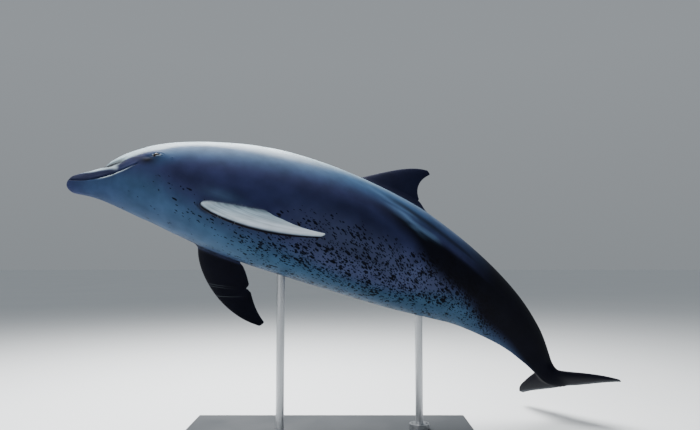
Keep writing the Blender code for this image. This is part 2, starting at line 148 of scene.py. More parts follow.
# Fins: cubic curves of leading and trailing edge, as (along the span, along the chord)
FOIL_FULLNESS, FOIL_TAPER = 2.6, 0.25
FIN_EDGE = 0.0010  # half the thickness of a trailing edge
FIN_THINNING = 0.7  # how fast a blade thins towards its tip
LEAST_CHORD, LEAST_THICK, TIP_LENGTH = 0.04, 0.15, 0.22  # shares of the last section, as a tip closes
TIP_AT = 0.975  # share of the edge curves at which a fin's tip starts to round off
DORSAL_LEADING = ((0.0, 0.0), (0.045, 0.12), (0.212, 0.28), (0.219, 0.396))
DORSAL_TRAILING = ((0.0, 0.49), (0.045, 0.366), (0.13, 0.336), (0.209, 0.412))
DORSAL_AT, DORSAL_FOOT, DORSAL_THICK = 1.01, 0.222, 0.030
FLIPPER_LEADING = ((0.0, 0.0), (0.11, -0.062), (0.333, 0.0), (0.432, 0.203))
FLIPPER_TRAILING = {
    "left": ((0.0, 0.138), (0.10, 0.250), (0.262, 0.100), (0.424, 0.224)),
    "right": ((0.0, 0.075), (0.13, 0.232), (0.262, 0.112), (0.424, 0.224)),
}
FLIPPER_AT, FLIPPER_AROUND, FLIPPER_THICK = 0.553, 142, 0.034
TWIST_ABOUT = 0.10
# Sweep back, droop, twist at the foot, more twist at the tip (degrees), downward bend of the tip
FLIPPER_POSE = {"left": (30, 35.5, -14.5, -22, 0.027), "right": (28, 25, 5, -4, 0.052)}
FLUKE_LEADING = ((0.0, 0.0), (0.07, 0.038), (0.23, 0.082), (0.291, 0.168))
FLUKE_TRAILING = ((0.0, 0.155), (0.06, 0.186), (0.19, 0.158), (0.288, 0.184))
FLUKE_AT, FLUKE_THICK = 2.265, 0.034
# Healed bites and nicks in a trailing edge: share of the edge curve, depth, half width as a share
BITE = ((0.578, 0.016, 0.020), (0.612, 0.006, 0.016))
SHOULDER = ((0.235, -0.010, 0.050), (0.52, 0.006, 0.090))  # fuller, then slimmer, than the plain curve
NICK = ((0.36, 0.007, 0.024),)
FLUKE_NOTCH = ((0.0, 0.016, 0.045),)

# ---- How finely the skin is drawn ---------------------------------------------------------------
COLUMNS = 120  # points round a ring of the body
HEAD_STEP, BODY_STEP, LEAST_STEP = 0.0064, 0.0125, 0.0004
HEAD_END = 0.46
TIP_ROWS, TAIL_ROWS = 14, 7  # rings that round off the tip of the jaw and the end of the tail
FOIL_STEPS = 16
EDGE_SHARES = np.linspace(0, 1, 25)  # points along a fin's edge, for the marks that follow it
FIN_SUNK = 0.05  # how deep in the body a fin starts
NOTCH_STATIONS = 17
TIP_CLOSING = (0.3, 0.55, 0.75, 0.9, 0.98, 1.0)  # how far the last sections of a fin have closed
# Sections of each fin, and how wide its foot blends into the body
DORSAL_STATIONS, DORSAL_BLEND = 40, 0.055
FLIPPER_STATIONS, FLIPPER_BLEND = 48, 0.024
FLUKE_STATIONS, FLUKE_BLEND = 44, 0.045
FLATTEST = 0.3  # keeps the push of a blend within bounds where two surfaces face apart
RELAX_ROUNDS = 12

# ---- Markings: boundaries as (distance, degrees down from the back) -----------------------------
# Where the painted highlight along the top of the back ends
HIGHLIGHT_EDGE = (
    (0.00, 52), (0.05, 76), (0.08, 85), (0.11, 93), (0.15, 97), (0.19, 103), (0.21, 104), (0.25, 88),
    (0.28, 85), (0.32, 81), (0.36, 80), (0.42, 72), (0.50, 65), (0.70, 58), (0.90, 49), (1.10, 41),
    (1.30, 38), (1.60, 32), (2.45, 28),
)
# Where the darker crown of the back ends
CROWN_EDGE = ((0.10, 30), (0.20, 40), (0.50, 44), (0.80, 34), (1.10, 22), (1.60, 14))
# Where the pale belly begins
BELLY_EDGE = (
    (0.00, 112), (0.28, 118), (0.38, 126), (0.45, 139), (0.55, 147), (0.70, 156), (1.10, 155), (1.30, 148),
    (1.50, 132), (1.62, 128), (1.72, 137), (1.85, 152), (2.00, 162), (2.10, 172), (2.20, 184), (2.45, 210),
)
# Where the dark band of the rear flank ends
BAND_EDGE = ((1.10, 82), (1.30, 90), (1.45, 110), (1.60, 118), (1.75, 128))
# The upper jaw's ridge, along which a highlight is painted, and its upper edge
RIDGE_LINE = ((0.05, 72), (0.08, 82), (0.11, 90), (0.15, 93), (0.19, 99), (0.23, 106))
RIDGE_TOP = ((0.12, 82), (0.15, 88), (0.17, 92), (0.19, 97), (0.21, 101), (0.24, 108))
# The fold at the melon's foot, which runs on from the crease between melon and jaw, and along which a shadow
# is painted
FOOT_SHADOW_LINE = ((0.14, 66), (0.16, 79), (0.18, 88), (0.20, 90), (0.22, 92), (0.24, 93), (0.28, 92))
EYE_BAND_LINE = ((0.38, 100), (0.45, 113), (0.50, 121), (0.56, 127), (0.75, 128))
# Pale streaks under the dorsal fin, which are painted reflections: degrees from the first one, half width,
# start, end, strength
SHEEN_STREAK_LINE = ((0.90, 64), (1.10, 66), (1.30, 70), (1.50, 73))
SHEEN_STREAKS = ((0, 3.2, 1.12, 1.47, 1.0), (-8, 2.6, 1.00, 1.36, 0.45), (6, 1.8, 1.16, 1.40, 0.5))
# Across a flipper's front half: distance along the span, slant, half width, strength
SCRATCHES = ((0.168, 0.43, 0.0040, 0.5), (0.180, 0.43, 0.0016, 0.9), (0.236, 0.30, 0.0018, 0.9))
SCRATCH_WAVE = 0.012  # how far they stray from a straight line
# Flecks: cells to the metre each way, share of cells filled, what is added to it, greatest radius in cells
FLECKS = (
    ((31, 92, 92), 0.56, -0.09, 0.60),
    ((46, 130, 130), 0.66, -0.03, 0.58),
    ((72, 190, 190), 0.62, 0.0, 0.54),
)
LEAST_FLECK = 0.24  # least radius, in cells
FLECK_TILT = math.radians(-22)  # flecks run this much more steeply down than the spine
FLECK_STRAY = (0.011, 0.007, 0.007)  # how far noise bends their outline
# Paints in the order they are laid over the flank, and marks over the flecks: share, colour, strength
# The back is a painted highlight, the shade its blue falloff, the pale streaks under the dorsal fin painted
# reflections, the flippers' paint their lit side, and the dark paint partly painted shade
PAINTS = (
    ("shade", "shade", 0.8), ("back", "back", 1.0), ("crown", "crown", 0.85), ("ground", "ground", 0.8),
    ("belly", "belly", 1.0), ("dark", "dark", 0.98), ("sheen_streak", "sheen_streak", 0.62), ("flipper", "flipper", 0.9),
)
# The pale marks are mostly painted highlights, and the dark marks painted shadow in creases, along the mouth
# and in the blowhole, as well as dark skin round the eyes
MARKS = (("pale_marks_and_highlights", "lip", 0.8), ("patch", "dark", 0.93), ("line", "dark", 0.95))

TAILWARD, LEFT, UP = np.eye(3)


# ---- Curves -------------------------------------------------------------------------------------
def along(table, x, column=1):
    """Reads a column of a table at x, on a smooth curve that doesn't overshoot its rows."""
    rows = np.asarray(table, float)
    at, value = rows[:, 0], rows[:, column]
    step = np.diff(at)
    slope = np.diff(value) / step
    lead, trail = 2 * step[1:] + step[:-1], step[1:] + 2 * step[:-1]
    rising = slope[1:] * slope[:-1] > 0
    safe = np.where(slope == 0, 1.0, slope)
    tangent = np.concatenate([slope[:1], np.zeros(len(at) - 2), slope[-1:]])
    tangent[1:-1] = np.where(rising, (lead + trail) / (lead / safe[:-1] + trail / safe[1:]), 0)
    x = np.clip(x, at[0], at[-1])
    i = np.clip(np.searchsorted(at, x) - 1, 0, len(step) - 1)
    t = (x - at[i]) / step[i]
    return (
        value[i] * (2 * t**3 - 3 * t**2 + 1)
        + tangent[i] * step[i] * (t**3 - 2 * t**2 + t)
        + value[i + 1] * (3 * t**2 - 2 * t**3)
        + tangent[i + 1] * step[i] * (t**3 - t**2)
    )


def bezier(points, t):
    """The point at t of a cubic curve."""
    a, b, c, d = (np.asarray(p, float) for p in points)
    return (1 - t) ** 3 * a + 3 * t * (1 - t) ** 2 * b + 3 * t**2 * (1 - t) * c + t**3 * d


def smooth(low, high, x):
    """0 below low and 1 above high, with an even ramp between them."""
    t = np.clip((x - low) / (high - low), 0, 1)
    return t * t * (3 - 2 * t)


def between(x, start, full, end, gone):
    """0 up to start, 1 from full to end, and 0 again once gone."""
    return smooth(start, full, x) * (1 - smooth(end, gone, x))


def bell(x, width):
    """1 at 0, falling off within about twice the width."""
    return np.exp(-((x / width) ** 2))


def spine():
    """The posed spine: its points, and the tailward, left and back directions at each."""
    s = np.linspace(0, LENGTH, SPINE_STEPS + 1)
    dive, turn, roll = (np.radians(along(POSE, s, column)) for column in (1, 2, 3))
    tail = np.stack([np.cos(dive) * np.cos(turn), np.cos(dive) * np.sin(turn), -np.sin(dive)], 1)
    middle = tail[1:] + tail[:-1]
    middle /= np.linalg.norm(middle, axis=1)[:, None]
    point = np.concatenate([[[0, 0, 0]], np.cumsum(middle * (s[1] - s[0]), axis=0)])
    level = np.array([0, 0, 1.0]) - tail * tail[:, 2:]
    level /= np.linalg.norm(level, axis=1)[:, None]
    beside = np.cross(level, -tail)
    cos, sin = np.cos(roll)[:, None], np.sin(roll)[:, None]
    left, back = beside * cos + level * sin, level * cos - beside * sin
    point += np.array(ANCHOR) - point[round(ANCHOR_AT / LENGTH * SPINE_STEPS)]
    return point, tail, left, back


SPINE = spine()


def place(points):
    """Moves (s, y, z) body coordinates into the posed part."""
    points = np.atleast_2d(np.asarray(points, float))
    s = points[:, 0]
    inside = np.clip(s, 0, LENGTH)
    row = inside / LENGTH * SPINE_STEPS
    low = np.minimum(np.floor(row).astype(int), SPINE_STEPS - 1)
    share = (row - low)[:, None]
    origin, tail, left, back = (axis[low] * (1 - share) + axis[low + 1] * share for axis in SPINE)
    return origin + tail * (s - inside)[:, None] + left * points[:, 1:2] + back * points[:, 2:3]


def rounded(distance):
    """0 at a jaw's tip, rising like a circle to 1."""
    share = np.clip(distance / TIP_ROUNDING, 0, 1)
    return np.sqrt(1 - (1 - share) ** 2)


def straight(s, around, grow=0.0):
    """Body coordinates of the skin, at an angle from the back: the larger of melon and muzzle."""
    s, around = np.broadcast_arrays(np.asarray(s, float), np.asarray(around, float))
    back, belly, width, ridge = (along(BODY, s, column) for column in (1, 2, 3, 4))
    sin, cos = np.sin(around), np.cos(around)
    y = width * np.sign(sin) * np.abs(sin) ** ridge
    z = np.where(cos > 0, back, belly) * cos
    radius = np.hypot(y, z)
    side, up = y / radius, z / radius
    top, bottom, half = (along(MUZZLE, s, column) for column in (1, 2, 3))
    lower, upper = rounded(s), rounded(s - UPPER_LIP_AT)
    tall = np.where(up > 0, top * upper, bottom * lower) + LEAST_RADIUS
    wide = half * np.where(up > 0, upper + (lower - upper) * (1 - np.abs(up)), lower) + LEAST_RADIUS
    muzzle = 1 / np.hypot(side / wide, up / tall)
    melon = np.where(s < MELON_FROM, np.minimum(radius, muzzle / 2), radius)
    blend = np.clip(0.5 + 0.5 * (muzzle - melon) / MELON_BLEND, 0, 1)
    fillet = MELON_BLEND * blend * (1 - blend) * np.clip(s / MELON_FROM, 0, 1)
    radius = melon * (1 - blend) + muzzle * blend + fillet + grow
    return np.stack([s, side * radius, up * radius], -1)


# ---- Folds and openings of the skin -------------------------------------------------------------
class Spot:
    """A place on the skin, which measures how far points lie tailward and bellyward of it."""

    def __init__(self, s, degrees, side=1):
        around = side * math.radians(degrees)
        step = 0.001
        self.point = straight(s, around)
        tailward = straight(s + step, around) - straight(s - step, around)
        bellyward = straight(s, around + side * step) - straight(s, around - side * step)
        self.axes = np.stack([v / np.linalg.norm(v) for v in (tailward, bellyward)], 1)

    def offsets(self, points):
        return (points - self.point) @ self.axes

    def gap(self, points):
        return np.linalg.norm(self.offsets(points), axis=1)


EYES = {side: Spot(EYE_AT, EYE_AROUND, side) for side in SIDES.values()}
EARS = {side: Spot(EYE_AT + 0.056, EYE_AROUND + 5, side) for side in SIDES.values()}
BLOWHOLE = Spot(BLOWHOLE_AT, 0)
NAVEL = Spot(1.13, 180)
GENITAL_SLIT, VENT = (1.585, 1.665), Spot(1.705, 180)
SLIT_TILT = math.radians(-9)  # turns the opening level with the beak
EYE_OPENING = (0.0118, 0.0050)  # half the length and height of the opening between the lids


def eye_offsets(points, side):
    """Offsets from an eye, along its opening and across it."""
    tailward, bellyward = EYES[side].offsets(points).T
    cos, sin = math.cos(SLIT_TILT), math.sin(SLIT_TILT)
    return tailward * cos - bellyward * sin, tailward * sin + bellyward * cos


def mouth_gap(points):
    """Height above the mouth line, and how much of a mouth there is at each point."""
    s, _, z = points.T
    return z - along(MOUTH, s), 1 - smooth(MOUTH_CORNER - 0.010, MOUTH_CORNER + 0.014, s)


def blowhole_gap(points):
    """Distance from the crescent of the blowhole, and how far inside its curve."""
    tailward, across = BLOWHOLE.offsets(points).T
    tailward = tailward + BLOWHOLE_RADIUS
    angle = np.arctan2(across, tailward)
    limit = math.radians(BLOWHOLE_HALF_ARC)
    nearest = np.clip(angle, -limit, limit)
    gap = np.hypot(tailward - BLOWHOLE_RADIUS * np.cos(nearest), across - BLOWHOLE_RADIUS * np.sin(nearest))
    return gap, BLOWHOLE_RADIUS - np.hypot(tailward, across)


def slit_gap(points):
    """Distance from the genital slit."""
    s, y, _ = points.T
    return np.hypot(y, np.maximum(0, np.maximum(GENITAL_SLIT[0] - s, s - GENITAL_SLIT[1])))


def skin_crease(points):
    """How far the melon stands out of the muzzle at each point, which is 0 along their crease."""
    s, y, z = points.T
    back, width = along(BODY, s, 1), along(BODY, s, 3)
    top, half = along(MUZZLE, s, 1), along(MUZZLE, s, 3)
    radius = np.hypot(y, z) + LEAST_RADIUS
    side, up = y / radius, np.abs(z) / radius
    melon = 1 / np.hypot(side / width, up / back)
    muzzle = 1 / np.hypot(side / half, up / top)
    return np.where(s < MELON_FROM, 1.0, melon - muzzle)


def above_ridge(s, degrees):
    """1 above the upper jaw's ridge and 0 below it."""
    return 1 - smooth(0, 6, degrees - along(RIDGE_TOP, s))


def eye_relief(points, side):
    """The brow's swelling, the lids with a fold above and below, and the pocket that holds the eyeball."""
    run, drop = eye_offsets(points, side)
    out = np.hypot(run / EYE_OPENING[0], drop / EYE_OPENING[1])  # 1 at the rim of the opening
    across = np.abs(drop / EYE_OPENING[1]) / np.maximum(out, 0.1)  # 0 at the corners of the opening
    swelling = 0.0036 * bell(run, 0.034) * bell(drop, 0.026)
    lids = 0.0013 * bell(out - 1.32, 0.34)
    folds = (-0.0012 * bell(out - 2.10, 0.26) + 0.0006 * bell(out - 2.70, 0.40)) * (0.2 + 0.8 * across)
    hollow = -0.0030 * bell(run + 0.030, 0.020) * bell(drop - 0.011, 0.010)
    pocket = -0.0120 * (1 - smooth(0.78, 1.06, out))
    return swelling + lids + folds + hollow + pocket


def mouth_relief(points, degrees):
    """The lips, the mouth's corner, the upper jaw's ridge and the groove between jaw and melon."""
    s, _, z = points.T
    height, mouth = mouth_gap(points)
    lips = -0.0036 * bell(height, 0.0017) + 0.0024 * bell(height + 0.0042, 0.0026)
    lips += 0.0012 * bell(height - 0.0070, 0.0045)
    lips *= mouth * (0.35 + 0.65 * smooth(0.08, 0.15, s)) * smooth(0.002, 0.02, s)
    corner = 0.0022 * bell(np.hypot(s - MOUTH_CORNER - 0.004, height), 0.006) * (z < 0.03)
    ridge = 0.0018 * between(s, 0.03, 0.09, 0.205, 0.245) * bell(degrees - along(RIDGE_LINE, s), 6)
    groove = 0.0042 * between(s, 0.120, 0.150, 0.22, 0.28) * bell(skin_crease(points), 0.0045)
    return lips - corner + ridge - groove * above_ridge(s, degrees)


def relief(points, around):
    """How far the skin stands out of the body's plain shape at each point."""
    s, y, z = points.T
    degrees = np.degrees(np.abs(around))
    out = mouth_relief(points, degrees)
    for side in SIDES.values():
        ear = EARS[side].gap(points)
        folds = eye_relief(points, side) + 0.0008 * bell(ear, 0.006) - 0.0024 * bell(ear, 0.0016)
        out += np.where(y * side > 0, folds, 0)

    gap, inside = blowhole_gap(points)
    hole = -0.0050 * bell(gap, 0.0020) + 0.0016 * bell(gap - 0.0065, 0.004)
    out += (hole + 0.0012 * bell(gap, 0.012) * (inside > 0)) * (z > 0)

    slit, vent = slit_gap(points), VENT.gap(points)
    navel_along, navel_across = NAVEL.offsets(points).T
    below = 0.0016 * bell(slit, 0.012) - 0.0042 * bell(slit, 0.0024)
    below += 0.0010 * bell(vent, 0.009) - 0.0028 * bell(vent, 0.0032)
    below -= 0.0020 * bell(navel_along, 0.012) * bell(navel_across, 0.005)
    out += below * (z < 0)

    # Shallow creases of the neck, where the head lifts
    for fold in (0.440, 0.472, 0.510):
        bent = s - fold - 0.03 * (np.cos(around) < 0) * np.cos(around) ** 2
        out -= 0.0007 * bell(bent, 0.0055) * smooth(110, 140, degrees)
    return out


def detail_level(points):
    """How many times the faces at these points are halved, so that each fold has faces of its own size."""
    s, y, z = points.T
    level = np.zeros(len(points), int)

    def near(distance, *reach):
        for deeper, limit in enumerate(reach, 1):
            level[:] = np.maximum(level, np.where(distance < limit, deeper, 0))

    # A metre is added where a feature isn't, which puts those points out of reach
    for side in SIDES.values():
        run, drop = eye_offsets(points, side)
        wrong_side = np.where(y * side > 0, 0, 1)
        near(np.hypot(run, drop * 1.6) + wrong_side, 0.060, 0.044, 0.024)
        near(EARS[side].gap(points) + wrong_side, 0.020, 0.012, 0.006)
    height, mouth = mouth_gap(points)
    off_mouth = np.abs(height) + (mouth < 0.5)
    near(off_mouth, 0.020, 0.011)
    near(off_mouth + (s < 0.07), 0.020, 0.011, 0.0055)
    near(np.abs(s - 0.02), 0.016)
    near(blowhole_gap(points)[0] + (z < 0), 0.036, 0.020, 0.007)
    near(slit_gap(points) + (z > 0), 0.030, 0.014, 0.006)
    near(VENT.gap(points) + (z > 0), 0.022, 0.012, 0.006)
    near(NAVEL.gap(points) + (z > 0), 0.030, 0.018)
    near(np.abs(skin_crease(points)) + (s > 0.24) + (z < -0.01), 0.010)
    return level


# ---- Meshes -------------------------------------------------------------------------------------
def new_object(name, shape):
    """An object in the scene from a bmesh, which is freed, or from mesh data."""
    data = shape
    if isinstance(shape, bmesh.types.BMesh):
        data = bpy.data.meshes.new(name)
        shape.to_mesh(data)
        shape.free()
    obj = bpy.data.objects.new(name, data)
    bpy.context.scene.collection.objects.link(obj)
    return obj


def points_of(data):
    flat = np.empty(len(data.vertices) * 3)
    data.vertices.foreach_get("co", flat)
    return flat.reshape(-1, 3)


def set_points(data, points):
    data.vertices.foreach_set("co", points.astype(np.float32).ravel())
    data.update()


def add_attribute(data, name, values):
    """A float or vector attribute on the points, which the materials read."""
    kind, field = ("FLOAT", "value") if values.ndim == 1 else ("FLOAT_VECTOR", "vector")
    attribute = data.attributes.new(name, kind, "POINT")
    attribute.data.foreach_set(field, values.astype(np.float32).ravel())


def tube(rings):
    """A mesh through rings of equally many points, closed at both ends."""
    count = len(rings[0])
    mesh = bmesh.new()
    for ring in rings:
        for point in ring:
            mesh.verts.new(point)
    mesh.verts.ensure_lookup_table()
    for row in range(len(rings) - 1):
        for i in range(count):
            j = (i + 1) % count
            corners = (row * count + i, row * count + j, (row + 1) * count + j, (row + 1) * count + i)
            mesh.faces.new([mesh.verts[c] for c in corners])
    for first in (0, (len(rings) - 1) * count):
        rim = mesh.verts[first : first + count]
        centre = mesh.verts.new(np.mean([vert.co for vert in rim], 0))
        for one, other in zip(rim, rim[1:] + rim[:1]):
            mesh.faces.new([one, other, centre])
        mesh.verts.ensure_lookup_table()
    bmesh.ops.recalc_face_normals(mesh, faces=mesh.faces)
    return mesh


def body_rows():
    """Distances of the body's rings: crowded where the jaw tips and the tail's end round off."""
    turn = np.linspace(0.04, math.pi / 2, TIP_ROWS)
    lower_tip = TIP_ROUNDING * (1 - np.cos(turn))
    upper_tip = UPPER_LIP_AT + lower_tip
    head = np.arange(UPPER_LIP_AT + TIP_ROUNDING, HEAD_END, HEAD_STEP)
    trunk = np.arange(HEAD_END, TAIL_END - TAIL_ROUNDING, BODY_STEP)
    end = TAIL_END - TAIL_ROUNDING * (1 - np.sin(np.linspace(0, math.pi / 2, TAIL_ROWS)))
    rows = np.unique(np.concatenate([lower_tip, upper_tip, head, trunk, end]))
    keep = [rows[0]]
    for s in rows[1:]:
        if s - keep[-1] > LEAST_STEP:
            keep.append(s)
    return np.array(keep)


def tail_rounding(s):
    """1 along the body, falling like a circle to 0 at the tail's end."""
    return np.sqrt(1 - np.clip((s - TAIL_END + TAIL_ROUNDING) / TAIL_ROUNDING, 0, 1) ** 2)


def body_mesh():
    """The straight body with its folds, finer where they are."""
    turn = np.arange(COLUMNS) * 2 * math.pi / COLUMNS
    rings = [np.stack([np.full(COLUMNS, s), np.sin(turn), np.cos(turn)], 1) for s in body_rows()]
    mesh = tube(rings)  # a unit cylinder, on which a point is its distance and its angle
    for deeper in (1, 2, 3):
        centres = np.array([face.calc_center_median() for face in mesh.faces])
        around = np.arctan2(centres[:, 1], centres[:, 2])
        level = detail_level(straight(centres[:, 0], around))
        chosen = {e for face, at in zip(mesh.faces, level) if at >= deeper for e in face.edges}
        bmesh.ops.subdivide_edges(mesh, edges=list(chosen), cuts=1, use_grid_fill=True)
    body = new_object("skin", mesh)
    flat = points_of(body.data)
    around = np.arctan2(flat[:, 1], flat[:, 2])
    plain = straight(flat[:, 0], around)
    points = straight(flat[:, 0], around, relief(plain, around))
    points[:, 1:] *= tail_rounding(flat[:, 0])[:, None]
    centre = np.hypot(flat[:, 1], flat[:, 2]) < 0.5  # the points that close the two ends
    points[centre, 1:] = 0
    points[centre & (flat[:, 0] < 1), 0] = 0
    set_points(body.data, points)
    return body


def foil():
    """A fin's section: (share of the chord, share of the half thickness) round the loop."""
    share = (1 - np.cos(np.linspace(0, math.pi, FOIL_STEPS + 1))) / 2
    half = FOIL_FULLNESS * np.sqrt(share) * (1 - share) * (1 - FOIL_TAPER * share)
    upper = np.stack([share, half], 1)
    return np.concatenate([upper, upper[-1:0:-1] * (1, -1)])


class Blade:
    """A fin's blade: its edges, its foot, and how it twists and bends towards the tip."""

    def __init__(self, edges, foot, axes, thick, tip_twist=0.0, tip_bend=0.0, notches=()):
        self.leading, self.trailing = edges
        self.foot, self.thick = foot, thick
        self.span_axis, self.chord_axis = axes
        self.tip_twist, self.tip_bend, self.notches = tip_twist, tip_bend, notches

    def at(self, span, chord, out):
        """Body coordinates of points given along the span, along the chord and out of the blade."""
        share = np.clip(span / self.leading[-1][0], 0, 1)
        twist = self.tip_twist * share
        arm = chord - TWIST_ABOUT
        turned = TWIST_ABOUT + arm * np.cos(twist) - out * np.sin(twist)
        lifted = arm * np.sin(twist) + out * np.cos(twist) + self.tip_bend * share**2
        normal = np.cross(self.span_axis, self.chord_axis)
        return self.foot + sum(
            np.multiply.outer(part, axis)
            for part, axis in ((span, self.span_axis), (turned, self.chord_axis), (lifted, normal))
        )

    def section(self, t, close=0.0):
        """Span, chord and thickness of the section at t; close draws it in where the tip rounds off."""
        shape = foil()
        front, rear = bezier(self.leading, t), bezier(self.trailing, t)
        for at, deep, wide in self.notches:
            rear = rear - (rear - front) / np.linalg.norm(rear - front) * deep * bell(t - at, wide)
        across = front + shape[:, :1] * (rear - front)
        middle = (front + rear) / 2
        keep = math.sqrt(max(1 - close**2, 0))
        across = middle + (across - middle) * max(keep, LEAST_CHORD)
        outward = np.array([rear[1] - front[1], front[0] - rear[0]])
        outward *= math.copysign(1, outward[0])
        outward /= np.linalg.norm(outward)
        across = across + outward * np.linalg.norm(rear - front) * TIP_LENGTH * close
        on_top = np.arange(len(shape)) <= FOIL_STEPS
        edge = FIN_EDGE * np.sign(shape[:, 0]) * np.where(on_top, 1, -1)
        out = shape[:, 1] * self.thick / 2 * (1 - t) ** FIN_THINNING + edge
        return across[:, 0], across[:, 1], out * max(keep, LEAST_THICK)

    def rings(self, stations, sunk):
        """Its sections from foot to tip, closer together at a notch; the first is sunk into the body."""
        spread = TIP_AT * np.linspace(0, 1, stations) ** 0.9
        for at, _, wide in self.notches:
            near = np.linspace(at - 2.2 * wide, at + 2.2 * wide, NOTCH_STATIONS)
            spread = np.concatenate([spread, near[near > 0]])
        made = []
        if sunk:
            span, chord, out = self.section(0.0)
            made.append(self.at(span - sunk, chord, out))
        made += [self.at(*self.section(t)) for t in np.unique(spread)]
        made += [self.at(*self.section(TIP_AT, close)) for close in TIP_CLOSING]
        return made


def flipper_blade(side, label, notches):
    """One flipper's blade, in its pose."""
    *angles, tip_bend = FLIPPER_POSE[label]
    sweep, droop, twist, tip_twist = np.radians(angles)
    flat = math.cos(sweep)
    span_axis = np.array([math.sin(sweep), side * flat * math.cos(droop), -flat * math.sin(droop)])
    chord_axis = TAILWARD - span_axis * span_axis[0]
    chord_axis /= np.linalg.norm(chord_axis)
    across = np.cross(span_axis, chord_axis)
    chord_axis = chord_axis * math.cos(twist) + across * side * math.sin(twist)
    foot = straight(FLIPPER_AT, side * math.radians(FLIPPER_AROUND))
    edges, axes = (FLIPPER_LEADING, FLIPPER_TRAILING[label]), (span_axis, chord_axis)
    return Blade(edges, foot, axes, FLIPPER_THICK, side * tip_twist, side * tip_bend, notches)


def fluke_rings():
    """Both flukes as one blade, from the left tip to the right one."""
    edges, foot = (FLUKE_LEADING, FLUKE_TRAILING), np.array([FLUKE_AT, 0.0, 0.0])
    left = Blade(edges, foot, (LEFT, TAILWARD), FLUKE_THICK, notches=FLUKE_NOTCH)
    half = left.rings(FLUKE_STATIONS, 0.0)
    return half[::-1] + [ring * (1, -1, 1) for ring in half[1:]]


def fin_objects():
    """The fins as closed meshes, and how wide each one's foot blends into the body."""
    edges, foot = (DORSAL_LEADING, DORSAL_TRAILING), np.array([DORSAL_AT, 0, DORSAL_FOOT])
    dorsal = Blade(edges, foot, (UP, TAILWARD), DORSAL_THICK, notches=NICK)
    made = [("dorsal", dorsal.rings(DORSAL_STATIONS, FIN_SUNK), DORSAL_BLEND)]
    for (label, side), notches in zip(SIDES.items(), (SHOULDER, BITE)):
        rings = flipper_blade(side, label, notches).rings(FLIPPER_STATIONS, FIN_SUNK)
        made.append((f"{label}_flipper", rings, FLIPPER_BLEND))
    made.append(("flukes", fluke_rings(), FLUKE_BLEND))
    return [(new_object(name, tube(rings)), reach) for name, rings, reach in made]


def blend_foot(points, body_tree, fin_tree, reach):
    """Fills the corner between body and fin with a soft fillet, and says how near each point is to it."""
    moved = points.copy()
    nearness = np.zeros(len(points))
    for i, point in enumerate(points):
        to_fin = fin_tree.find_nearest(point, reach)
        if to_fin[0] is None:
            continue
        to_body = body_tree.find_nearest(point, reach)
        if to_body[0] is None:
            continue
        apart = 1 - abs(to_fin[3] - to_body[3]) / reach
        if apart <= 0:
            continue
        nearer, farther = (to_body, to_fin) if to_body[3] < to_fin[3] else (to_fin, to_body)
        normal = nearer[1] * (1 - apart / 2) + farther[1] * (apart / 2)
        moved[i] += np.array(normal) / max(normal.length_squared, FLATTEST) * reach / 4 * apart**2
        nearness[i] = apart
    return moved, nearness


def tree_of(obj):
    """The object's surface, to find nearest points on."""
    mesh = bmesh.new()
    mesh.from_mesh(obj.data)
    tree = BVHTree.FromBMesh(mesh)
    mesh.free()
    return tree


def relax(data, points, weight, rounds):
    """Evens the points towards their neighbours, each by its own weight."""
    ends = np.empty(len(data.edges) * 2, int)
    data.edges.foreach_get("vertices", ends)
    one, other = ends.reshape(-1, 2).T
    count = np.bincount(ends, minlength=len(points))[:, None]
    for _ in range(rounds):
        total = np.zeros_like(points)
        np.add.at(total, one, points[other])
        np.add.at(total, other, points[one])
        points = points + (total / np.maximum(count, 1) - points) * weight[:, None] * 0.5
    return points


def joined_skin():
    """Body and fins as one closed, straight mesh with soft roots."""
    body = body_mesh()
    body_tree = tree_of(body)
    fins = fin_objects()
    trees = [(tree_of(fin), reach) for fin, reach in fins]
    for fin, _ in fins:
        union = body.modifiers.new(fin.name, "BOOLEAN")
        union.operation, union.solver, union.object = "UNION", "EXACT", fin
    graph = bpy.context.evaluated_depsgraph_get()
    data = bpy.data.meshes.new_from_object(body.evaluated_get(graph))
    for obj in [body, *(fin for fin, _ in fins)]:
        bpy.data.objects.remove(obj)
    points = points_of(data)
    root = np.zeros(len(points))
    for fin_tree, reach in trees:
        points, nearness = blend_foot(points, body_tree, fin_tree, reach)
        root = np.maximum(root, nearness)
    points = relax(data, points, smooth(0.25, 0.7, root), RELAX_ROUNDS)
    set_points(data, points)
    return data, body_tree, root


# ---- Markings -----------------------------------------------------------------------------------
def blade_place(points):
    """(distance along the span, behind the leading edge, 1 on a flipper), for marks that follow a flipper."""
    s, y, z = points.T
    front = np.array([bezier(FLIPPER_LEADING, t) for t in EDGE_SHARES])
    found = np.zeros((len(points), 3))
    for label, side in SIDES.items():
        blade = flipper_blade(side, label, ())
        span, chord = ((points - blade.foot) @ axis for axis in (blade.span_axis, blade.chord_axis))
        near = (y * side > 0) & (s < 1.1) & (z < 0.15)
        behind = chord - np.interp(span, *front.T)
        found[near] = np.stack([span, behind, span > 0], 1)[near]
    return found


def sheen_streak_share(s, degrees, on_body):
    """Pale streaks under the dorsal fin, which are painted reflections, and a faint pale patch over the
    flipper's root.
    """
    sheen_streak = 0.40 * bell(s - 0.62, 0.06) * bell(degrees - 126, 5) * on_body
    for shift, half_width, start, end, strength in SHEEN_STREAKS:
        run = between(s, start, start + 0.16, end - 0.08, end)
        off_line = degrees - along(SHEEN_STREAK_LINE, s) - shift - 1.2 * np.sin(s * 34 + shift)
        sheen_streak = np.maximum(sheen_streak, strength * run * bell(off_line, half_width))
    return sheen_streak


def spots_share(s, past_belly, on_body):
    """Flecks, which start well over the belly's edge and thin out below it."""
    above = 22 + 36 * smooth(0.60, 1.00, s)  # how many degrees over the edge they reach
    spots = smooth(-1, -0.45, past_belly / above) * (1 - 0.68 * smooth(4, 26, past_belly))
    spots = spots * (0.16 + 0.84 * smooth(0.50, 0.92, s) + 0.30 * smooth(1.05, 1.25, s))
    return spots * between(s, 0.20, 0.40, 1.80, 2.05) * on_body


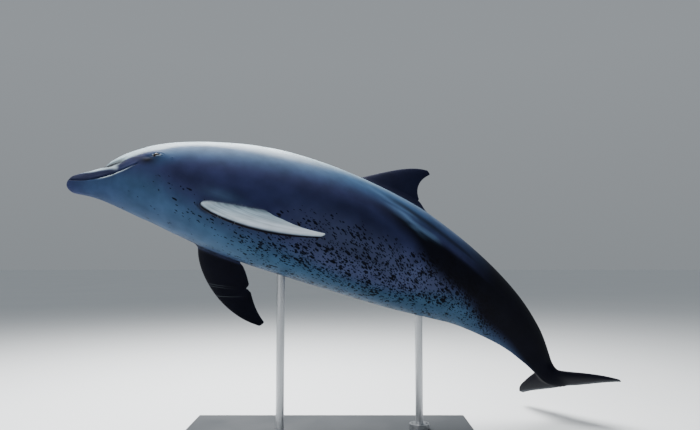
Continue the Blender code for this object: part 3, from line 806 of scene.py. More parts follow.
def eye_marks(points):
    """The pale lids, and the dark of their rims and of the skin below and ahead of each eye."""
    lid, dark = np.zeros(len(points)), np.zeros(len(points))
    for side in SIDES.values():
        near = points[:, 1] * side > 0
        run, drop = eye_offsets(points, side)
        out = np.hypot(run / EYE_OPENING[0], drop / EYE_OPENING[1])
        lower = smooth(-0.001, 0.003, drop)
        lid = np.maximum(lid, near * bell(out - 1.42, 0.20) * (0.04 + 0.60 * lower))
        rim = 1 - smooth(1.02, 1.16, out)
        below = bell(run + 0.028, 0.038) * bell(drop - 0.027, 0.018)
        ahead = bell(run + 0.060, 0.050) * bell(drop - 0.015, 0.009)
        dark = np.maximum.reduce([dark, near * rim, near * below, near * 0.55 * ahead])
    return lid, dark


def fluke_hem(s, y):
    """A band just ahead of the flukes' trailing edge."""
    edge = np.array([bezier(FLUKE_TRAILING, t) for t in EDGE_SHARES])
    ahead = FLUKE_AT + np.interp(np.abs(y), *edge.T) - s
    return bell(ahead - 0.013, 0.011) * (s > 2.3)


def markings(points, normals, root, body_tree, blade):
    """Shares of each colour at the skin's points, by name."""
    s, y, z = points.T
    degrees = np.degrees(np.arctan2(np.abs(y), z))
    off_body = np.array([body_tree.find_nearest(point)[3] for point in points])
    fin = smooth(0.003, 0.016, off_body)
    on_body = 1 - fin
    flipper = fin * (s < 1.1) * (z < 0.15)
    # The down-facing skin of the flippers, which is painted in shade
    under = 1 - smooth(0.02, 0.42, normals[:, 2])
    fluke = np.maximum(fin * (s > 2.1), smooth(2.20, 2.30, s))
    below_highlight = degrees - along(HIGHLIGHT_EDGE, s)
    past_belly = degrees - along(BELLY_EDGE, s)
    height, mouth = mouth_gap(points)
    upper_jaw = smooth(0.0, 0.003, height) * (1 - smooth(0.20, 0.30, s))
    fold = skin_crease(points)

    # A painted highlight along the top, which leaves a painted shadow where the melon stands on the jaw, and
    # the darker crown on it
    # Painted shadow in the crease where the melon stands on the jaw
    wedge_shadow = between(s, 0.118, 0.132, 0.25, 0.26) * smooth(-0.001, 0.003, -fold)
    wedge_shadow = wedge_shadow * (1 - smooth(-2, 3, degrees - along(RIDGE_TOP, s)))
    ramp = 3 + 2 * smooth(0.22, 0.30, s) + 9 * smooth(0.50, 0.80, s)
    painted_highlight = (1 - smooth(-1, 1, below_highlight / ramp)) * (1 - 0.95 * wedge_shadow) * on_body
    painted_highlight = painted_highlight * (1 - 0.80 * smooth(0.80, 1.35, s)) * (1 - 0.8 * smooth(1.40, 1.9, s))
    painted_highlight = painted_highlight * (0.5 + 0.5 * smooth(0.09, 0.15, s))
    crown = (1 - smooth(-18, 2, degrees - along(CROWN_EDGE, s))) * smooth(0.10, 0.16, s) * on_body
    # A blue painted falloff of the highlight, just below its edge
    shade = smooth(0.30, 0.42, s) * (1 - smooth(8, 40, below_highlight)) * on_body
    shade = shade * (1 - 0.7 * smooth(1.0, 1.6, s))

    # The belly, and the ground of the flecks above it
    speckled = between(s, 0.75, 1.05, 1.45, 1.65)
    ground = speckled * smooth(92, 124, degrees) * (1 - smooth(-4, 14, past_belly)) * on_body
    belly = smooth(-20 + 14 * speckled, 20 - 4 * speckled, past_belly) * on_body
    throat = 0.05 + 0.35 * smooth(0.01, 0.14, s) + 0.22 * smooth(0.16, 0.34, s)
    belly = belly * (throat + 0.38 * smooth(0.35, 0.80, s)) * (1 - 0.45 * smooth(1.70, 1.95, s))
    belly = belly * (1 - 0.9 * upper_jaw)

    # The dark paint, from the jaw to the flukes; much of it is painted shade: over the tail stock, under the
    # flippers, round their roots, on the upper jaw's side and in the crease where the melon stands on the jaw
    band = smooth(0.98, 1.28, s) * smooth(67, 77, degrees)
    band = band * (1 - smooth(-12, 12, degrees - along(BAND_EDGE, s)))
    side = between(s, 0.70, 1.00, 1.12, 1.36) * smooth(78, 96, degrees) * (1 - smooth(-26, -6, past_belly))
    stripe = between(s, 1.10, 1.30, 1.6, 1.8) * bell(degrees - 56, 5)
    # Near-black over the tail stock: painted shade
    tail = smooth(1.45, 1.80, s) * (1 - smooth(-16, 14, past_belly))
    eye_band = between(s, 0.38, 0.47, 0.62, 0.80) * bell(degrees - along(EYE_BAND_LINE, s), 12)
    # The upper jaw's side below the ridge, painted in shade
    jaw_side_shade = upper_jaw * smooth(2, 8, below_highlight)
    # A painted shadow round the lower side of each flipper's root
    root_shadow = smooth(0.40, 0.85, root) * smooth(FLIPPER_AROUND - 6, FLIPPER_AROUND + 3, degrees)
    root_shadow = root_shadow * (s < 1.1) * (1 - flipper)
    dorsal = fin * (z > 0.15) * (s < 2.1)
    darks = [band, tail, fluke, flipper * under, 0.42 * side, 0.9 * wedge_shadow, 0.8 * stripe]
    darks += [0.35 * eye_band, 0.55 * jaw_side_shade, 0.72 * dorsal, 0.9 * root_shadow]

    # Pale and dark lines of the head, most of them painted light: highlights on the lower lip, the jaws' tip
    # and the upper jaw's ridge, shadows in the crease, at the melon's foot, along the mouth and in the
    # blowhole; and a painted highlight on the root of each flipper
    span, chord, _ = blade.T
    # The flippers' upper sides are painted paler, standing for the light that falls on them
    lit_flipper = flipper * (1 - under)
    # A painted highlight on each flipper's root
    root_highlight = lit_flipper * bell(span, 0.055) * bell(chord - 0.02, 0.05)
    # A painted highlight along the lower lip
    lip = mouth * (1 - 0.95 * smooth(0.250, 0.298, s)) * bell(height + 0.0032, 0.0023) * on_body
    lip = lip * smooth(0.135, 0.185, s)
    # A painted glint at the jaws' tip
    tip = bell(np.hypot(s - 0.014, z - 0.004), 0.006)
    # A painted highlight along the upper jaw's ridge
    ridge = between(s, 0.05, 0.13, 0.215, 0.238) * bell(degrees - along(RIDGE_LINE, s) - 2, 4.5)
    lid, around_eye = eye_marks(points)
    pale = [1.2 * lip, 0.8 * lid, 0.8 * tip, 0.62 * ridge, 0.6 * root_highlight, 0.05 * fluke * fluke_hem(s, y)]
    # Painted shadow in the crease between melon and jaw, and along the melon's foot
    crease = between(s, 0.125, 0.145, 0.22, 0.27) * bell(fold + 0.0015, 0.0070) * above_ridge(s, degrees)
    foot = between(s, 0.135, 0.150, 0.225, 0.275) * bell(degrees - along(FOOT_SHADOW_LINE, s), 3.2)
    # Painted shade in the blowhole's crescent, and with it along the mouth
    blowhole = bell(blowhole_gap(points)[0], 0.0022) * (z > 0)
    # Among these, the pale grey over the back is a painted highlight and the blue below it its falloff, the
    # pale streaks under the dorsal fin are painted reflections, the pale marks are mostly painted highlights,
    # and the dark ones hold painted shade as well as dark skin
    return {
        "belly": belly,
        "dark": np.clip(np.maximum.reduce(darks), 0, 1),
        "sheen_streak": sheen_streak_share(s, degrees, on_body),
        "back": painted_highlight,
        "crown": crown,
        "shade": shade,
        "ground": ground,
        "flipper": lit_flipper * (1 - 0.35 * smooth(0.12, 0.40, span)),
        "spots": spots_share(s, past_belly, on_body),
        "pale_marks_and_highlights": np.maximum.reduce(pale),
        "patch": np.maximum.reduce([around_eye, crease, foot]),
        "line": np.maximum(mouth * bell(height, 0.0017), blowhole),
    }


# ---- Materials ----------------------------------------------------------------------------------
def linear(code):
    """A linear colour from an sRGB hex value."""
    shares = [int(code[i : i + 2], 16) / 255 for i in (1, 3, 5)]
    return [c / 12.92 if c <= 0.04045 else ((c + 0.055) / 1.055) ** 2.4 for c in shares] + [1.0]


def fill(tree, node, inputs):
    """Sets or links each of a node's inputs."""
    for key, value in inputs.items():
        if isinstance(value, bpy.types.NodeSocket):
            tree.links.new(value, node.inputs[key])
        else:
            node.inputs[key].default_value = value


def add_node(tree, kind, inputs=(), **settings):
    """Adds a node with its settings and its inputs, given by name or in order, and gives its outputs."""
    made = tree.nodes.new(kind)
    for name, value in settings.items():
        setattr(made, name, value)
    fill(tree, made, inputs if isinstance(inputs, dict) else dict(enumerate(inputs)))
    return made.outputs


def new_material(name):
    """A material with its node tree and its surface shader."""
    material = bpy.data.materials.new(name)
    material.use_nodes = True
    return material, material.node_tree, material.node_tree.nodes["Principled BSDF"]


def lay(tree, colours, shade, layers):
    """Lays each layer's colour over the shade, by its share of the skin."""
    for name, colour, strength in layers:
        share = add_node(tree, "ShaderNodeAttribute", attribute_name=name)["Fac"]
        held = add_node(tree, "ShaderNodeMath", (share, strength), operation="MULTIPLY", use_clamp=True)[0]
        over = {0: held, 6: shade, 7: linear(getattr(colours, colour))}
        shade = add_node(tree, "ShaderNodeMix", over, data_type="RGBA")[2]
    return shade


def lay_flecks(tree, where, shade, colour):
    """Flecks 7 to 40 mm long that slant down the body, in loose clusters, each cell having one or none."""
    drift = add_node(tree, "ShaderNodeTexNoise", {"Vector": where, "Scale": 90.0, "Detail": 2.0})["Color"]
    pushed = add_node(tree, "ShaderNodeVectorMath", (drift, FLECK_STRAY, where), operation="MULTIPLY_ADD")[0]
    turn = {"Vector": pushed, "Angle": FLECK_TILT}
    slanted = add_node(tree, "ShaderNodeVectorRotate", turn, rotation_type="Y_AXIS")[0]
    gather = add_node(tree, "ShaderNodeTexNoise", {"Vector": where, "Scale": 22.0, "Detail": 3.0})["Fac"]
    cluster = add_node(tree, "ShaderNodeMapRange", (gather, 0.35, 0.62, 0.35, 1.35))[0]
    spots = add_node(tree, "ShaderNodeAttribute", attribute_name="spots")["Fac"]
    density = add_node(tree, "ShaderNodeMath", (spots, cluster), operation="MULTIPLY")[0]
    for stretch, filled, added, most in FLECKS:
        scaled = add_node(tree, "ShaderNodeMapping", {"Vector": slanted, "Scale": stretch})[0]
        cells = add_node(tree, "ShaderNodeTexVoronoi", {"Vector": scaled, "Scale": 1.0})
        chance = add_node(tree, "ShaderNodeSeparateColor", (cells["Color"],))
        wanted = add_node(tree, "ShaderNodeMath", (density, filled, added), operation="MULTIPLY_ADD")[0]
        chosen = add_node(tree, "ShaderNodeMath", (chance[0], wanted), operation="LESS_THAN")[0]
        radius = add_node(tree, "ShaderNodeMapRange", (chance[1], 0.0, 1.0, LEAST_FLECK, most))[0]
        reach = add_node(tree, "ShaderNodeMath", (radius, chosen), operation="MULTIPLY")[0]
        inside = add_node(tree, "ShaderNodeMath", (reach, cells["Distance"]), operation="SUBTRACT")[0]
        fleck = add_node(tree, "ShaderNodeMapRange", (inside, 0.0, 0.08, 0.0, 0.95))[0]
        over = {0: fleck, 6: shade, 7: linear(colour)}
        shade = add_node(tree, "ShaderNodeMix", over, data_type="RGBA")[2]
    return shade


def lay_scratches(tree, where, blade, shade, colour):
    """Healed tooth scratches: faint pale hairlines across a flipper that come and go."""
    span, chord, on_flipper = add_node(tree, "ShaderNodeSeparateXYZ", (blade,))
    wobble = add_node(tree, "ShaderNodeTexNoise", {"Vector": where, "Scale": 12.0, "Detail": 3.0})["Fac"]
    broken = add_node(tree, "ShaderNodeMapRange", (wobble, 0.40, 0.56, 0.2, 1.0))[0]
    forward = add_node(tree, "ShaderNodeMapRange", (chord, 0.04, 0.11, 1.0, 0.0))[0]
    kept = add_node(tree, "ShaderNodeMath", (broken, forward), operation="MULTIPLY")[0]
    shown = add_node(tree, "ShaderNodeMath", (kept, on_flipper), operation="MULTIPLY")[0]
    for distance, slant, half_width, strength in SCRATCHES:
        level = add_node(tree, "ShaderNodeMath", (chord, -slant, span), operation="MULTIPLY_ADD")[0]
        wavy = add_node(tree, "ShaderNodeMath", (wobble, SCRATCH_WAVE, level), operation="MULTIPLY_ADD")[0]
        middle = distance + SCRATCH_WAVE / 2
        off_line = add_node(tree, "ShaderNodeMath", (wavy, middle), operation="SUBTRACT")[0]
        gap = add_node(tree, "ShaderNodeMath", (off_line,), operation="ABSOLUTE")[0]
        trace = add_node(tree, "ShaderNodeMapRange", (gap, 0.0, half_width, 0.10 * strength, 0.0))[0]
        share = add_node(tree, "ShaderNodeMath", (trace, shown), operation="MULTIPLY")[0]
        over = {0: share, 6: shade, 7: linear(colour)}
        shade = add_node(tree, "ShaderNodeMix", over, data_type="RGBA")[2]
    return shade


def skin_material(colours):
    """Painted silicone skin: satin, with soft pigment that has no hard edges and fine pores."""
    material, tree, shader = new_material("painted_silicone_skin")
    where = add_node(tree, "ShaderNodeAttribute", attribute_name="rest_place")["Vector"]
    blade = add_node(tree, "ShaderNodeAttribute", attribute_name="blade_place")["Vector"]
    shade = lay(tree, colours, linear(colours.flank), PAINTS)

    # Worn streaks about 12 mm wide that run out along each flipper
    run = add_node(tree, "ShaderNodeMapping", {"Vector": blade, "Scale": (5.0, 80.0, 1.0)})[0]
    streaks = add_node(tree, "ShaderNodeTexNoise", {"Vector": run, "Scale": 1.0, "Detail": 3.0})["Fac"]
    worn = add_node(tree, "ShaderNodeMapRange", (streaks, 0.40, 0.64, 0.0, 0.75))[0]
    flipper = add_node(tree, "ShaderNodeAttribute", attribute_name="flipper")["Fac"]
    share = add_node(tree, "ShaderNodeMath", (worn, flipper), operation="MULTIPLY")[0]
    over = {0: share, 6: shade, 7: linear(colours.streak)}
    shade = add_node(tree, "ShaderNodeMix", over, data_type="RGBA")[2]

    shade = lay_flecks(tree, where, shade, colours.fleck)
    shade = lay(tree, colours, shade, MARKS)
    shade = lay_scratches(tree, where, blade, shade, colours.lip)

    # Soft clouds about 60 mm across, which make every paint uneven
    clouds = add_node(tree, "ShaderNodeTexNoise", {"Vector": where, "Scale": 16.0, "Detail": 5.0})["Fac"]
    uneven = add_node(tree, "ShaderNodeMapRange", (clouds, 0.3, 0.7, 0.82, 1.18))[0]
    toned = add_node(tree, "ShaderNodeVectorMath", {0: shade, 3: uneven}, operation="SCALE")[0]
    # Dark pigment is matt and pale pigment has a soft sheen
    pale = add_node(tree, "ShaderNodeRGBToBW", (toned,))[0]
    gloss = add_node(tree, "ShaderNodeMapRange", (pale, 0.004, 0.10, 0.68, 0.44))[0]
    # Fine pores and wrinkles about 3 mm apart, drawn coarser than real ones so that they show
    pores = add_node(tree, "ShaderNodeTexNoise", {"Vector": where, "Scale": 330.0, "Detail": 3.0})["Fac"]
    bump = add_node(tree, "ShaderNodeBump", {"Height": pores, "Strength": 0.12, "Distance": 0.001})[0]
    look = {"Base Color": toned, "Normal": bump, "Roughness": gloss, "Specular IOR Level": 0.05}
    fill(tree, shader, look)
    return material


def eye_material(colours):
    """Cast acrylic eye: clear gloss over a brown iris with fibres and a dark, wide pupil."""
    material, tree, shader = new_material("cast_acrylic_eye")
    gaze = add_node(tree, "ShaderNodeAttribute", attribute_name="gaze")["Fac"]  # 0 at the pupil, 1 behind
    turn = add_node(tree, "ShaderNodeAttribute", attribute_name="fibre")["Vector"]
    fibres = add_node(tree, "ShaderNodeTexNoise", {"Vector": turn, "Scale": 9.0, "Detail": 3.0})["Fac"]
    iris = {0: fibres, 6: linear(colours.iris), 7: linear(colours.iris_dark)}
    shade = add_node(tree, "ShaderNodeMix", iris, data_type="RGBA")[2]
    off_pupil = add_node(tree, "ShaderNodeMapRange", (gaze, 0.11, 0.15))[0]
    inner = {0: off_pupil, 6: linear(colours.pupil), 7: shade}
    shade = add_node(tree, "ShaderNodeMix", inner, data_type="RGBA")[2]
    off_iris = add_node(tree, "ShaderNodeMapRange", (gaze, 0.27, 0.33))[0]
    whole = {0: off_iris, 6: shade, 7: linear(colours.eye_rim)}
    shade = add_node(tree, "ShaderNodeMix", whole, data_type="RGBA")[2]
    fill(tree, shader, {"Base Color": shade, "Roughness": 0.06, "Specular IOR Level": 0.1})
    return material


def board_material(colours):
    """Lacquered board: satin paint with the faint orange peel that a roller leaves, rubbed in places."""
    material, tree, shader = new_material("lacquered_board")
    where = add_node(tree, "ShaderNodeTexCoord")["Object"]
    peel = add_node(tree, "ShaderNodeTexNoise", {"Vector": where, "Scale": 260.0, "Detail": 2.0})["Fac"]
    bump = add_node(tree, "ShaderNodeBump", {"Height": peel, "Strength": 0.10, "Distance": 0.0008})[0]
    wear = add_node(tree, "ShaderNodeTexNoise", {"Vector": where, "Scale": 5.0, "Detail": 6.0})["Fac"]
    gloss = add_node(tree, "ShaderNodeMapRange", (wear, 0.3, 0.7, 0.34, 0.46))[0]
    tones = {0: wear, 6: linear(colours.board), 7: linear(colours.board_worn)}
    tone = add_node(tree, "ShaderNodeMix", tones, data_type="RGBA")[2]
    fill(tree, shader, {"Base Color": tone, "Normal": bump, "Roughness": gloss})
    return material


def steel_material(colours, grain):
    """Brushed stainless steel: fine lines left by the belt, round a rod or across a collar."""
    material, tree, shader = new_material("brushed_stainless_steel")
    where = add_node(tree, "ShaderNodeTexCoord")["Object"]
    drawn_out = add_node(tree, "ShaderNodeMapping", {"Vector": where, "Scale": grain})[0]
    lines = add_node(tree, "ShaderNodeTexNoise", {"Vector": drawn_out, "Scale": 1.0, "Detail": 4.0})["Fac"]
    bump = add_node(tree, "ShaderNodeBump", {"Height": lines, "Strength": 0.18, "Distance": 0.0003})[0]
    rough = add_node(tree, "ShaderNodeMapRange", (lines, 0.3, 0.7, 0.24, 0.42))[0]
    look = {"Base Color": linear(colours.steel), "Metallic": 1.0, "Normal": bump, "Roughness": rough}
    fill(tree, shader, look)
    return material


def floor_material(colours):
    """Matt painted studio floor, evenly pale."""
    material, tree, shader = new_material("matt_studio_floor")
    where = add_node(tree, "ShaderNodeTexCoord")["Object"]
    soft = add_node(tree, "ShaderNodeTexNoise", {"Vector": where, "Scale": 0.7, "Detail": 2.0})["Fac"]
    tones = {0: soft, 6: linear(colours.floor), 7: linear(colours.floor_worn)}
    tone = add_node(tree, "ShaderNodeMix", tones, data_type="RGBA")[2]
    fill(tree, shader, {"Base Color": tone, "Roughness": 0.9})
    return material


# ---- Settings -----------------------------------------------------------------------------------
def paint(name, description, code):
    return StringProperty(name=name, description=f"{description}, as sRGB hex", default=code)


def number(name, description, default, **more):
    return FloatProperty(name=name, description=description, default=default, **more)


class SkinColours(bpy.types.PropertyGroup):
    # Pale grey over the back and the top of the head: a painted highlight that stands for the light from
    # above
    back: paint("Back", "Cape over the back", "#93a6af")
    crown: paint("Crown", "Along the top of the back", "#323e47")
    # A painted falloff of the highlight, in blue
    shade: paint("Shade", "Blue between the cape and the flank", "#254b6a")
    flank: paint("Flank", "Side of the body", "#262b4b")
    ground: paint("Speckled side", "Between the flecks of the side", "#404968")
    belly: paint("Belly", "Throat and belly", "#2f4c66")
    # Near-black: the flukes and dorsal fin; painted shade over the tail stock, under the flippers, round
    # their roots, on the upper jaw's side, in the crease at the melon's foot, along the mouth and in the
    # blowhole
    dark: paint("Dark", "Tail stock, flukes and dorsal fin", "#06070f")
    # Pale streaks under the dorsal fin: painted reflections
    sheen_streak: paint("Blaze", "Pale streaks under the dorsal fin", "#577599")
    streak: paint("Flipper streaks", "Worn streaks along the flippers", "#344751")
    flipper: paint("Flippers", "Lit side of both flippers", "#6d7e88")
    fleck: paint("Flecks", "Dark flecks of the belly", "#04050c")
    # Pale: painted highlights on the lower lip, the jaws' tip, the upper jaw's ridge and the flippers' roots,
    # and also the lids and the flippers' scratches
    lip: paint("Lip", "Pale rim of the lower lip and the lids", "#d3e3ec")
    iris: paint("Iris", "Light fibres of the iris", "#201712")
    iris_dark: paint("Iris fibres", "Dark fibres of the iris", "#0e0a08")
    pupil: paint("Pupil", "Pupil", "#040405")
    eye_rim: paint("Eye rim", "Eyeball outside the iris", "#15110f")


class StandSettings(bpy.types.PropertyGroup):
    board: paint("Board", "Lacquer of the base", "#3c3f42")
    board_worn: paint("Board wear", "Lacquer where it is rubbed", "#484b4e")
    steel: paint("Steel", "Rods and collars", "#b9bbbe")
    screws: IntProperty(name="Screws", description="Screws in each collar", default=4, min=2, max=12)
    screw_ring: number("Screw ring", "Radius of the ring of screws", 0.030, unit="LENGTH")
    screw_radius: number("Screw radius", "Radius of a screw's head", 0.0048, unit="LENGTH")
    screw_height: number("Screw height", "How far a head stands up", 0.0030, unit="LENGTH")


class StageSettings(bpy.types.PropertyGroup):
    floor: paint("Floor", "Studio floor", "#e9ebec")
    floor_worn: paint("Floor shade", "Faint unevenness of the floor", "#e2e5e6")
    sky: paint("Room", "Light from the walls of the studio", "#dfe7ee")
    room_light: number("Room light", "Strength of the room's light", 0.42)
    key_light: number("Key light", "Power of the overhead light", 440.0, unit="POWER")
    fill_share: number("Fill light", "Power of the fill light, as a share of the key light's", 0.12)
    lens: number("Lens", "Focal length of the camera", 32.3, unit="CAMERA")
    camera_at: FloatVectorProperty(
        name="Camera", description="Where the camera stands", default=(0.084, -2.555, 0.729), subtype="XYZ"
    )
    camera_pitch: number("Camera pitch", "How far the camera looks up", math.radians(4), subtype="ANGLE")


# ---- Pieces -------------------------------------------------------------------------------------
class DOLPHIN_OT_skin(bpy.types.Operator):
    """Builds the one skin over the whole animal"""

    bl_idname = "dolphin.skin"
    bl_label = "Skin"

    def execute(self, context):
        data, body_tree, root = joined_skin()
        points = points_of(data)
        if len(points) == 0:
            raise RuntimeError("the skin has no points")
        skin = new_object("skin", data)
        normals = np.empty(len(points) * 3)
        data.vertices.foreach_get("normal", normals)
        blade = blade_place(points)
        shares = markings(points, normals.reshape(-1, 3), root, body_tree, blade)
        for name, values in {"rest_place": points, "blade_place": blade, **shares}.items():
            add_attribute(data, name, values)
        set_points(data, place(points))
        data.materials.clear()
        data.materials.append(skin_material(context.scene.dolphin_skin))
        data.shade_smooth()
        data.set_sharp_from_angle(angle=math.radians(75))
        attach(skin, "root")
        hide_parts(*FLESH)
        return {"FINISHED"}


def eye_axes(side, centre):
    """The posed eye's directions: tailward, then across, then outward through the lids."""
    spot = EYES[side]
    here = place(spot.point)[0]
    outward, tailward = (
        place(spot.point + shift * 0.01)[0] - here
        for shift in (np.cross(*spot.axes.T) * side, spot.axes[:, 0])
    )
    outward *= math.copysign(1, outward @ (here - centre))
    outward /= np.linalg.norm(outward)
    tailward -= outward * (tailward @ outward)
    tailward /= np.linalg.norm(tailward)
    return np.stack([tailward, np.cross(outward, tailward), outward])


class DOLPHIN_OT_eyes(bpy.types.Operator):
    """Builds both eyeballs, each turned to look out of its lids"""

    bl_idname = "dolphin.eyes"
    bl_label = "Eyes"

    def execute(self, context):
        material = eye_material(context.scene.dolphin_skin)
        for label, side in SIDES.items():
            low, high = (np.array(corner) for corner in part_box(f"eye_{label}"))
            centre, radius = (low + high) / 2, (high[0] - low[0]) / 2
            mesh = bmesh.new()
            bmesh.ops.create_uvsphere(mesh, u_segments=64, v_segments=48, radius=1)
            eye = new_object(f"eyeball_{label}", mesh)
            ball = points_of(eye.data)  # its poles are on z, which becomes the gaze
            off_axis = np.arccos(np.clip(ball[:, 2], -1, 1)) / math.pi
            wide = np.hypot(ball[:, 0], ball[:, 1] * PUPIL_WIDTH)
            gaze = np.where(ball[:, 2] > 0, np.arcsin(np.clip(wide, 0, 1)) / math.pi, off_axis)
            cornea = 1 + CORNEA_RISE * bell(off_axis, CORNEA_REACH)
            turn = np.arctan2(ball[:, 1], ball[:, 0])
            add_attribute(eye.data, "gaze", gaze)
            add_attribute(eye.data, "fibre", np.stack([np.cos(turn), np.sin(turn), off_axis], 1))
            set_points(eye.data, centre + (ball * cornea[:, None] * radius) @ eye_axes(side, centre))
            eye.data.materials.append(material)
            eye.data.shade_smooth()
            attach(eye, "root")
            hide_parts(f"eye_{label}")
        return {"FINISHED"}


def screw_tree():
    """Geometry nodes: a ring of socket-head screws standing on a collar."""
    tree = bpy.data.node_groups.new("screw_ring", "GeometryNodeTree")
    for name, kind in (
        ("Centre", "Vector"), ("Ring Radius", "Float"), ("Head Radius", "Float"), ("Head Height", "Float"),
        ("Count", "Int"), ("Material", "Material"),
    ):
        tree.interface.new_socket(name, in_out="INPUT", socket_type=f"NodeSocket{kind}")
    tree.interface.new_socket("Geometry", in_out="OUTPUT", socket_type="NodeSocketGeometry")
    given = add_node(tree, "NodeGroupInput")
    radius, height = given["Head Radius"], given["Head Height"]
    circle = {"Vertices": given["Count"], "Radius": given["Ring Radius"]}
    ring = add_node(tree, "GeometryNodeMeshCircle", circle)["Mesh"]
    round_head = {"Vertices": 28, "Radius": radius, "Depth": height}
    head = add_node(tree, "GeometryNodeMeshCylinder", round_head)["Mesh"]
    key = add_node(tree, "ShaderNodeMath", (radius, 0.5), operation="MULTIPLY")[0]
    hexagon = {"Vertices": 6, "Radius": key, "Depth": height}
    recess = add_node(tree, "GeometryNodeMeshCylinder", hexagon)["Mesh"]
    lift = add_node(tree, "ShaderNodeMath", (height, 0.45), operation="MULTIPLY")[0]
    lift_by = add_node(tree, "ShaderNodeCombineXYZ", {"Z": lift})[0]
    raised = add_node(tree, "GeometryNodeTransform", {"Geometry": recess, "Translation": lift_by})[0]
    parts = {"Mesh 1": head, "Mesh 2": raised}
    screw = add_node(tree, "GeometryNodeMeshBoolean", parts, operation="DIFFERENCE")["Mesh"]
    screws = add_node(tree, "GeometryNodeInstanceOnPoints", {"Points": ring, "Instance": screw})[0]
    real = add_node(tree, "GeometryNodeRealizeInstances", {"Geometry": screws})[0]
    moved = add_node(tree, "GeometryNodeTransform", {"Geometry": real, "Translation": given["Centre"]})[0]
    dressed = {"Geometry": moved, "Material": given["Material"]}
    add_node(tree, "NodeGroupOutput", {"Geometry": add_node(tree, "GeometryNodeSetMaterial", dressed)[0]})
    return tree


class DOLPHIN_OT_stand(bpy.types.Operator):
    """Finishes the board, rods and collars, and puts the screws in"""

    bl_idname = "dolphin.stand"
    bl_label = "Stand"

    def execute(self, context):
        settings = context.scene.dolphin_stand
        collar_steel = steel_material(settings, (90.0, 90.0, 1600.0))
        rod_steel = steel_material(settings, (60.0, 60.0, 2400.0))
        finishes = {"stand_base": board_material(settings)}
        tree = screw_tree()
        sockets = {item.name: item.identifier for item in tree.interface.items_tree if item.in_out == "INPUT"}
        for label in ("front", "rear"):
            finishes[f"stand_rod_{label}"] = rod_steel
            finishes[f"stand_collar_{label}"] = collar_steel
            low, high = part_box(f"stand_collar_{label}")
            values = {
                "Centre": ((low.x + high.x) / 2, (low.y + high.y) / 2, high.z + settings.screw_height / 2),
                "Ring Radius": settings.screw_ring,
                "Head Radius": settings.screw_radius,
                "Head Height": settings.screw_height,
                "Count": settings.screws,
                "Material": collar_steel,
            }
            holder = new_object("holder", bpy.data.meshes.new("holder"))
            modifier = holder.modifiers.new("screws", "NODES")
            modifier.node_group = tree
            for name, value in values.items():
                modifier[sockets[name]] = value
            context.view_layer.update()
            graph = context.evaluated_depsgraph_get()
            data = bpy.data.meshes.new_from_object(holder.evaluated_get(graph))
            bpy.data.objects.remove(holder)
            if not data.polygons:
                raise RuntimeError(f"the {label} collar has no screws")
            screws = new_object(f"collar_screws_{label}", data)
            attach(screws, "root")
        for node, material in finishes.items():
            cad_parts[node].data.materials.clear()
            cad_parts[node].data.materials.append(material)
        return {"FINISHED"}


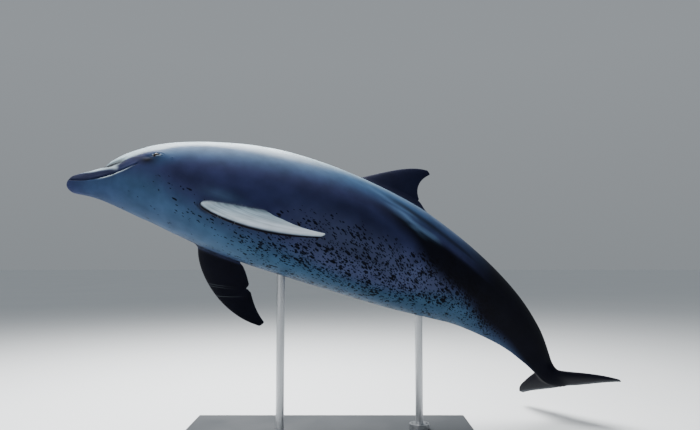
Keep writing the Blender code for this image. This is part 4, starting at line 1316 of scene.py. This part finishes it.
class DOLPHIN_OT_stage(bpy.types.Operator):
    """Lays the floor, hangs the lights and sets the camera"""

    bl_idname = "dolphin.stage"
    bl_label = "Stage"

    def execute(self, context):
        settings = context.scene.dolphin_stage
        mesh = bmesh.new()
        bmesh.ops.create_grid(mesh, x_segments=1, y_segments=1, size=40)
        bmesh.ops.translate(mesh, vec=(0, 0, -0.001), verts=mesh.verts)
        floor = new_object("studio_floor", mesh)
        floor.data.materials.append(floor_material(settings))

        world = bpy.data.worlds.new("studio_room")
        world.use_nodes = True
        tree, strength = world.node_tree, settings.room_light
        aimed = add_node(tree, "ShaderNodeTexCoord")["Generated"]
        height = add_node(tree, "ShaderNodeSeparateXYZ", {0: aimed})["Z"]
        limits = {"From Max": 0.3, "To Min": strength * 0.86, "To Max": strength}
        walls = add_node(tree, "ShaderNodeMapRange", {"Value": height, **limits})[0]
        fill(tree, tree.nodes["Background"], {"Color": linear(settings.sky), "Strength": walls})
        context.scene.world = world

        for name, at, aim, size, share in (
            ("key_light", (-0.6, 1.0, 3.3), (0.0, 0.1, 0.8), 2.6, 1.0),
            ("fill_light", (-2.2, -2.6, 2.2), (-0.2, 0.0, 0.8), 2.0, settings.fill_share),
        ):
            light = bpy.data.lights.new(name, "AREA")
            light.shape, light.size, light.energy = "SQUARE", size, settings.key_light * share
            lamp = bpy.data.objects.new(name, light)
            lamp.location = at
            x, y, z = np.array(at) - np.array(aim)
            lamp.rotation_euler = (math.atan2(math.hypot(x, y), z), 0, math.atan2(x, -y))
            context.scene.collection.objects.link(lamp)

        camera = bpy.data.cameras.new("camera")
        camera.lens, camera.sensor_width, camera.sensor_fit = settings.lens, 36, "HORIZONTAL"
        viewer = bpy.data.objects.new("camera", camera)
        viewer.location = settings.camera_at
        viewer.rotation_euler = (math.pi / 2 + settings.camera_pitch, 0, 0)
        context.scene.collection.objects.link(viewer)
        context.scene.camera = viewer
        return {"FINISHED"}


class DOLPHIN_PT_panel(bpy.types.Panel):
    """Lists the pieces that can be built"""

    bl_idname = "DOLPHIN_PT_panel"
    bl_label = "Dolphin"
    bl_space_type = "VIEW_3D"
    bl_region_type = "UI"
    bl_category = "Dolphin"

    def draw(self, context):
        for operator in OPERATORS:
            self.layout.operator(operator.bl_idname)


OPERATORS = (DOLPHIN_OT_skin, DOLPHIN_OT_eyes, DOLPHIN_OT_stand, DOLPHIN_OT_stage)
GROUPS = {"dolphin_skin": SkinColours, "dolphin_stand": StandSettings, "dolphin_stage": StageSettings}


def register():
    for cls in (*GROUPS.values(), *OPERATORS, DOLPHIN_PT_panel):
        bpy.utils.register_class(cls)
    for name, group in GROUPS.items():
        setattr(bpy.types.Scene, name, PointerProperty(type=group))


def unregister():
    for name in GROUPS:
        delattr(bpy.types.Scene, name)
    for cls in (DOLPHIN_PT_panel, *reversed(OPERATORS), *GROUPS.values()):
        bpy.utils.unregister_class(cls)


def main():
    for name in ("Cube", "Light", "Camera"):
        if name in bpy.data.objects:
            bpy.data.objects.remove(bpy.data.objects[name])
    register()
    bpy.ops.dolphin.skin()
    bpy.ops.dolphin.eyes()
    bpy.ops.dolphin.stand()
    bpy.ops.dolphin.stage()


if __name__ == "__main__":
    main()
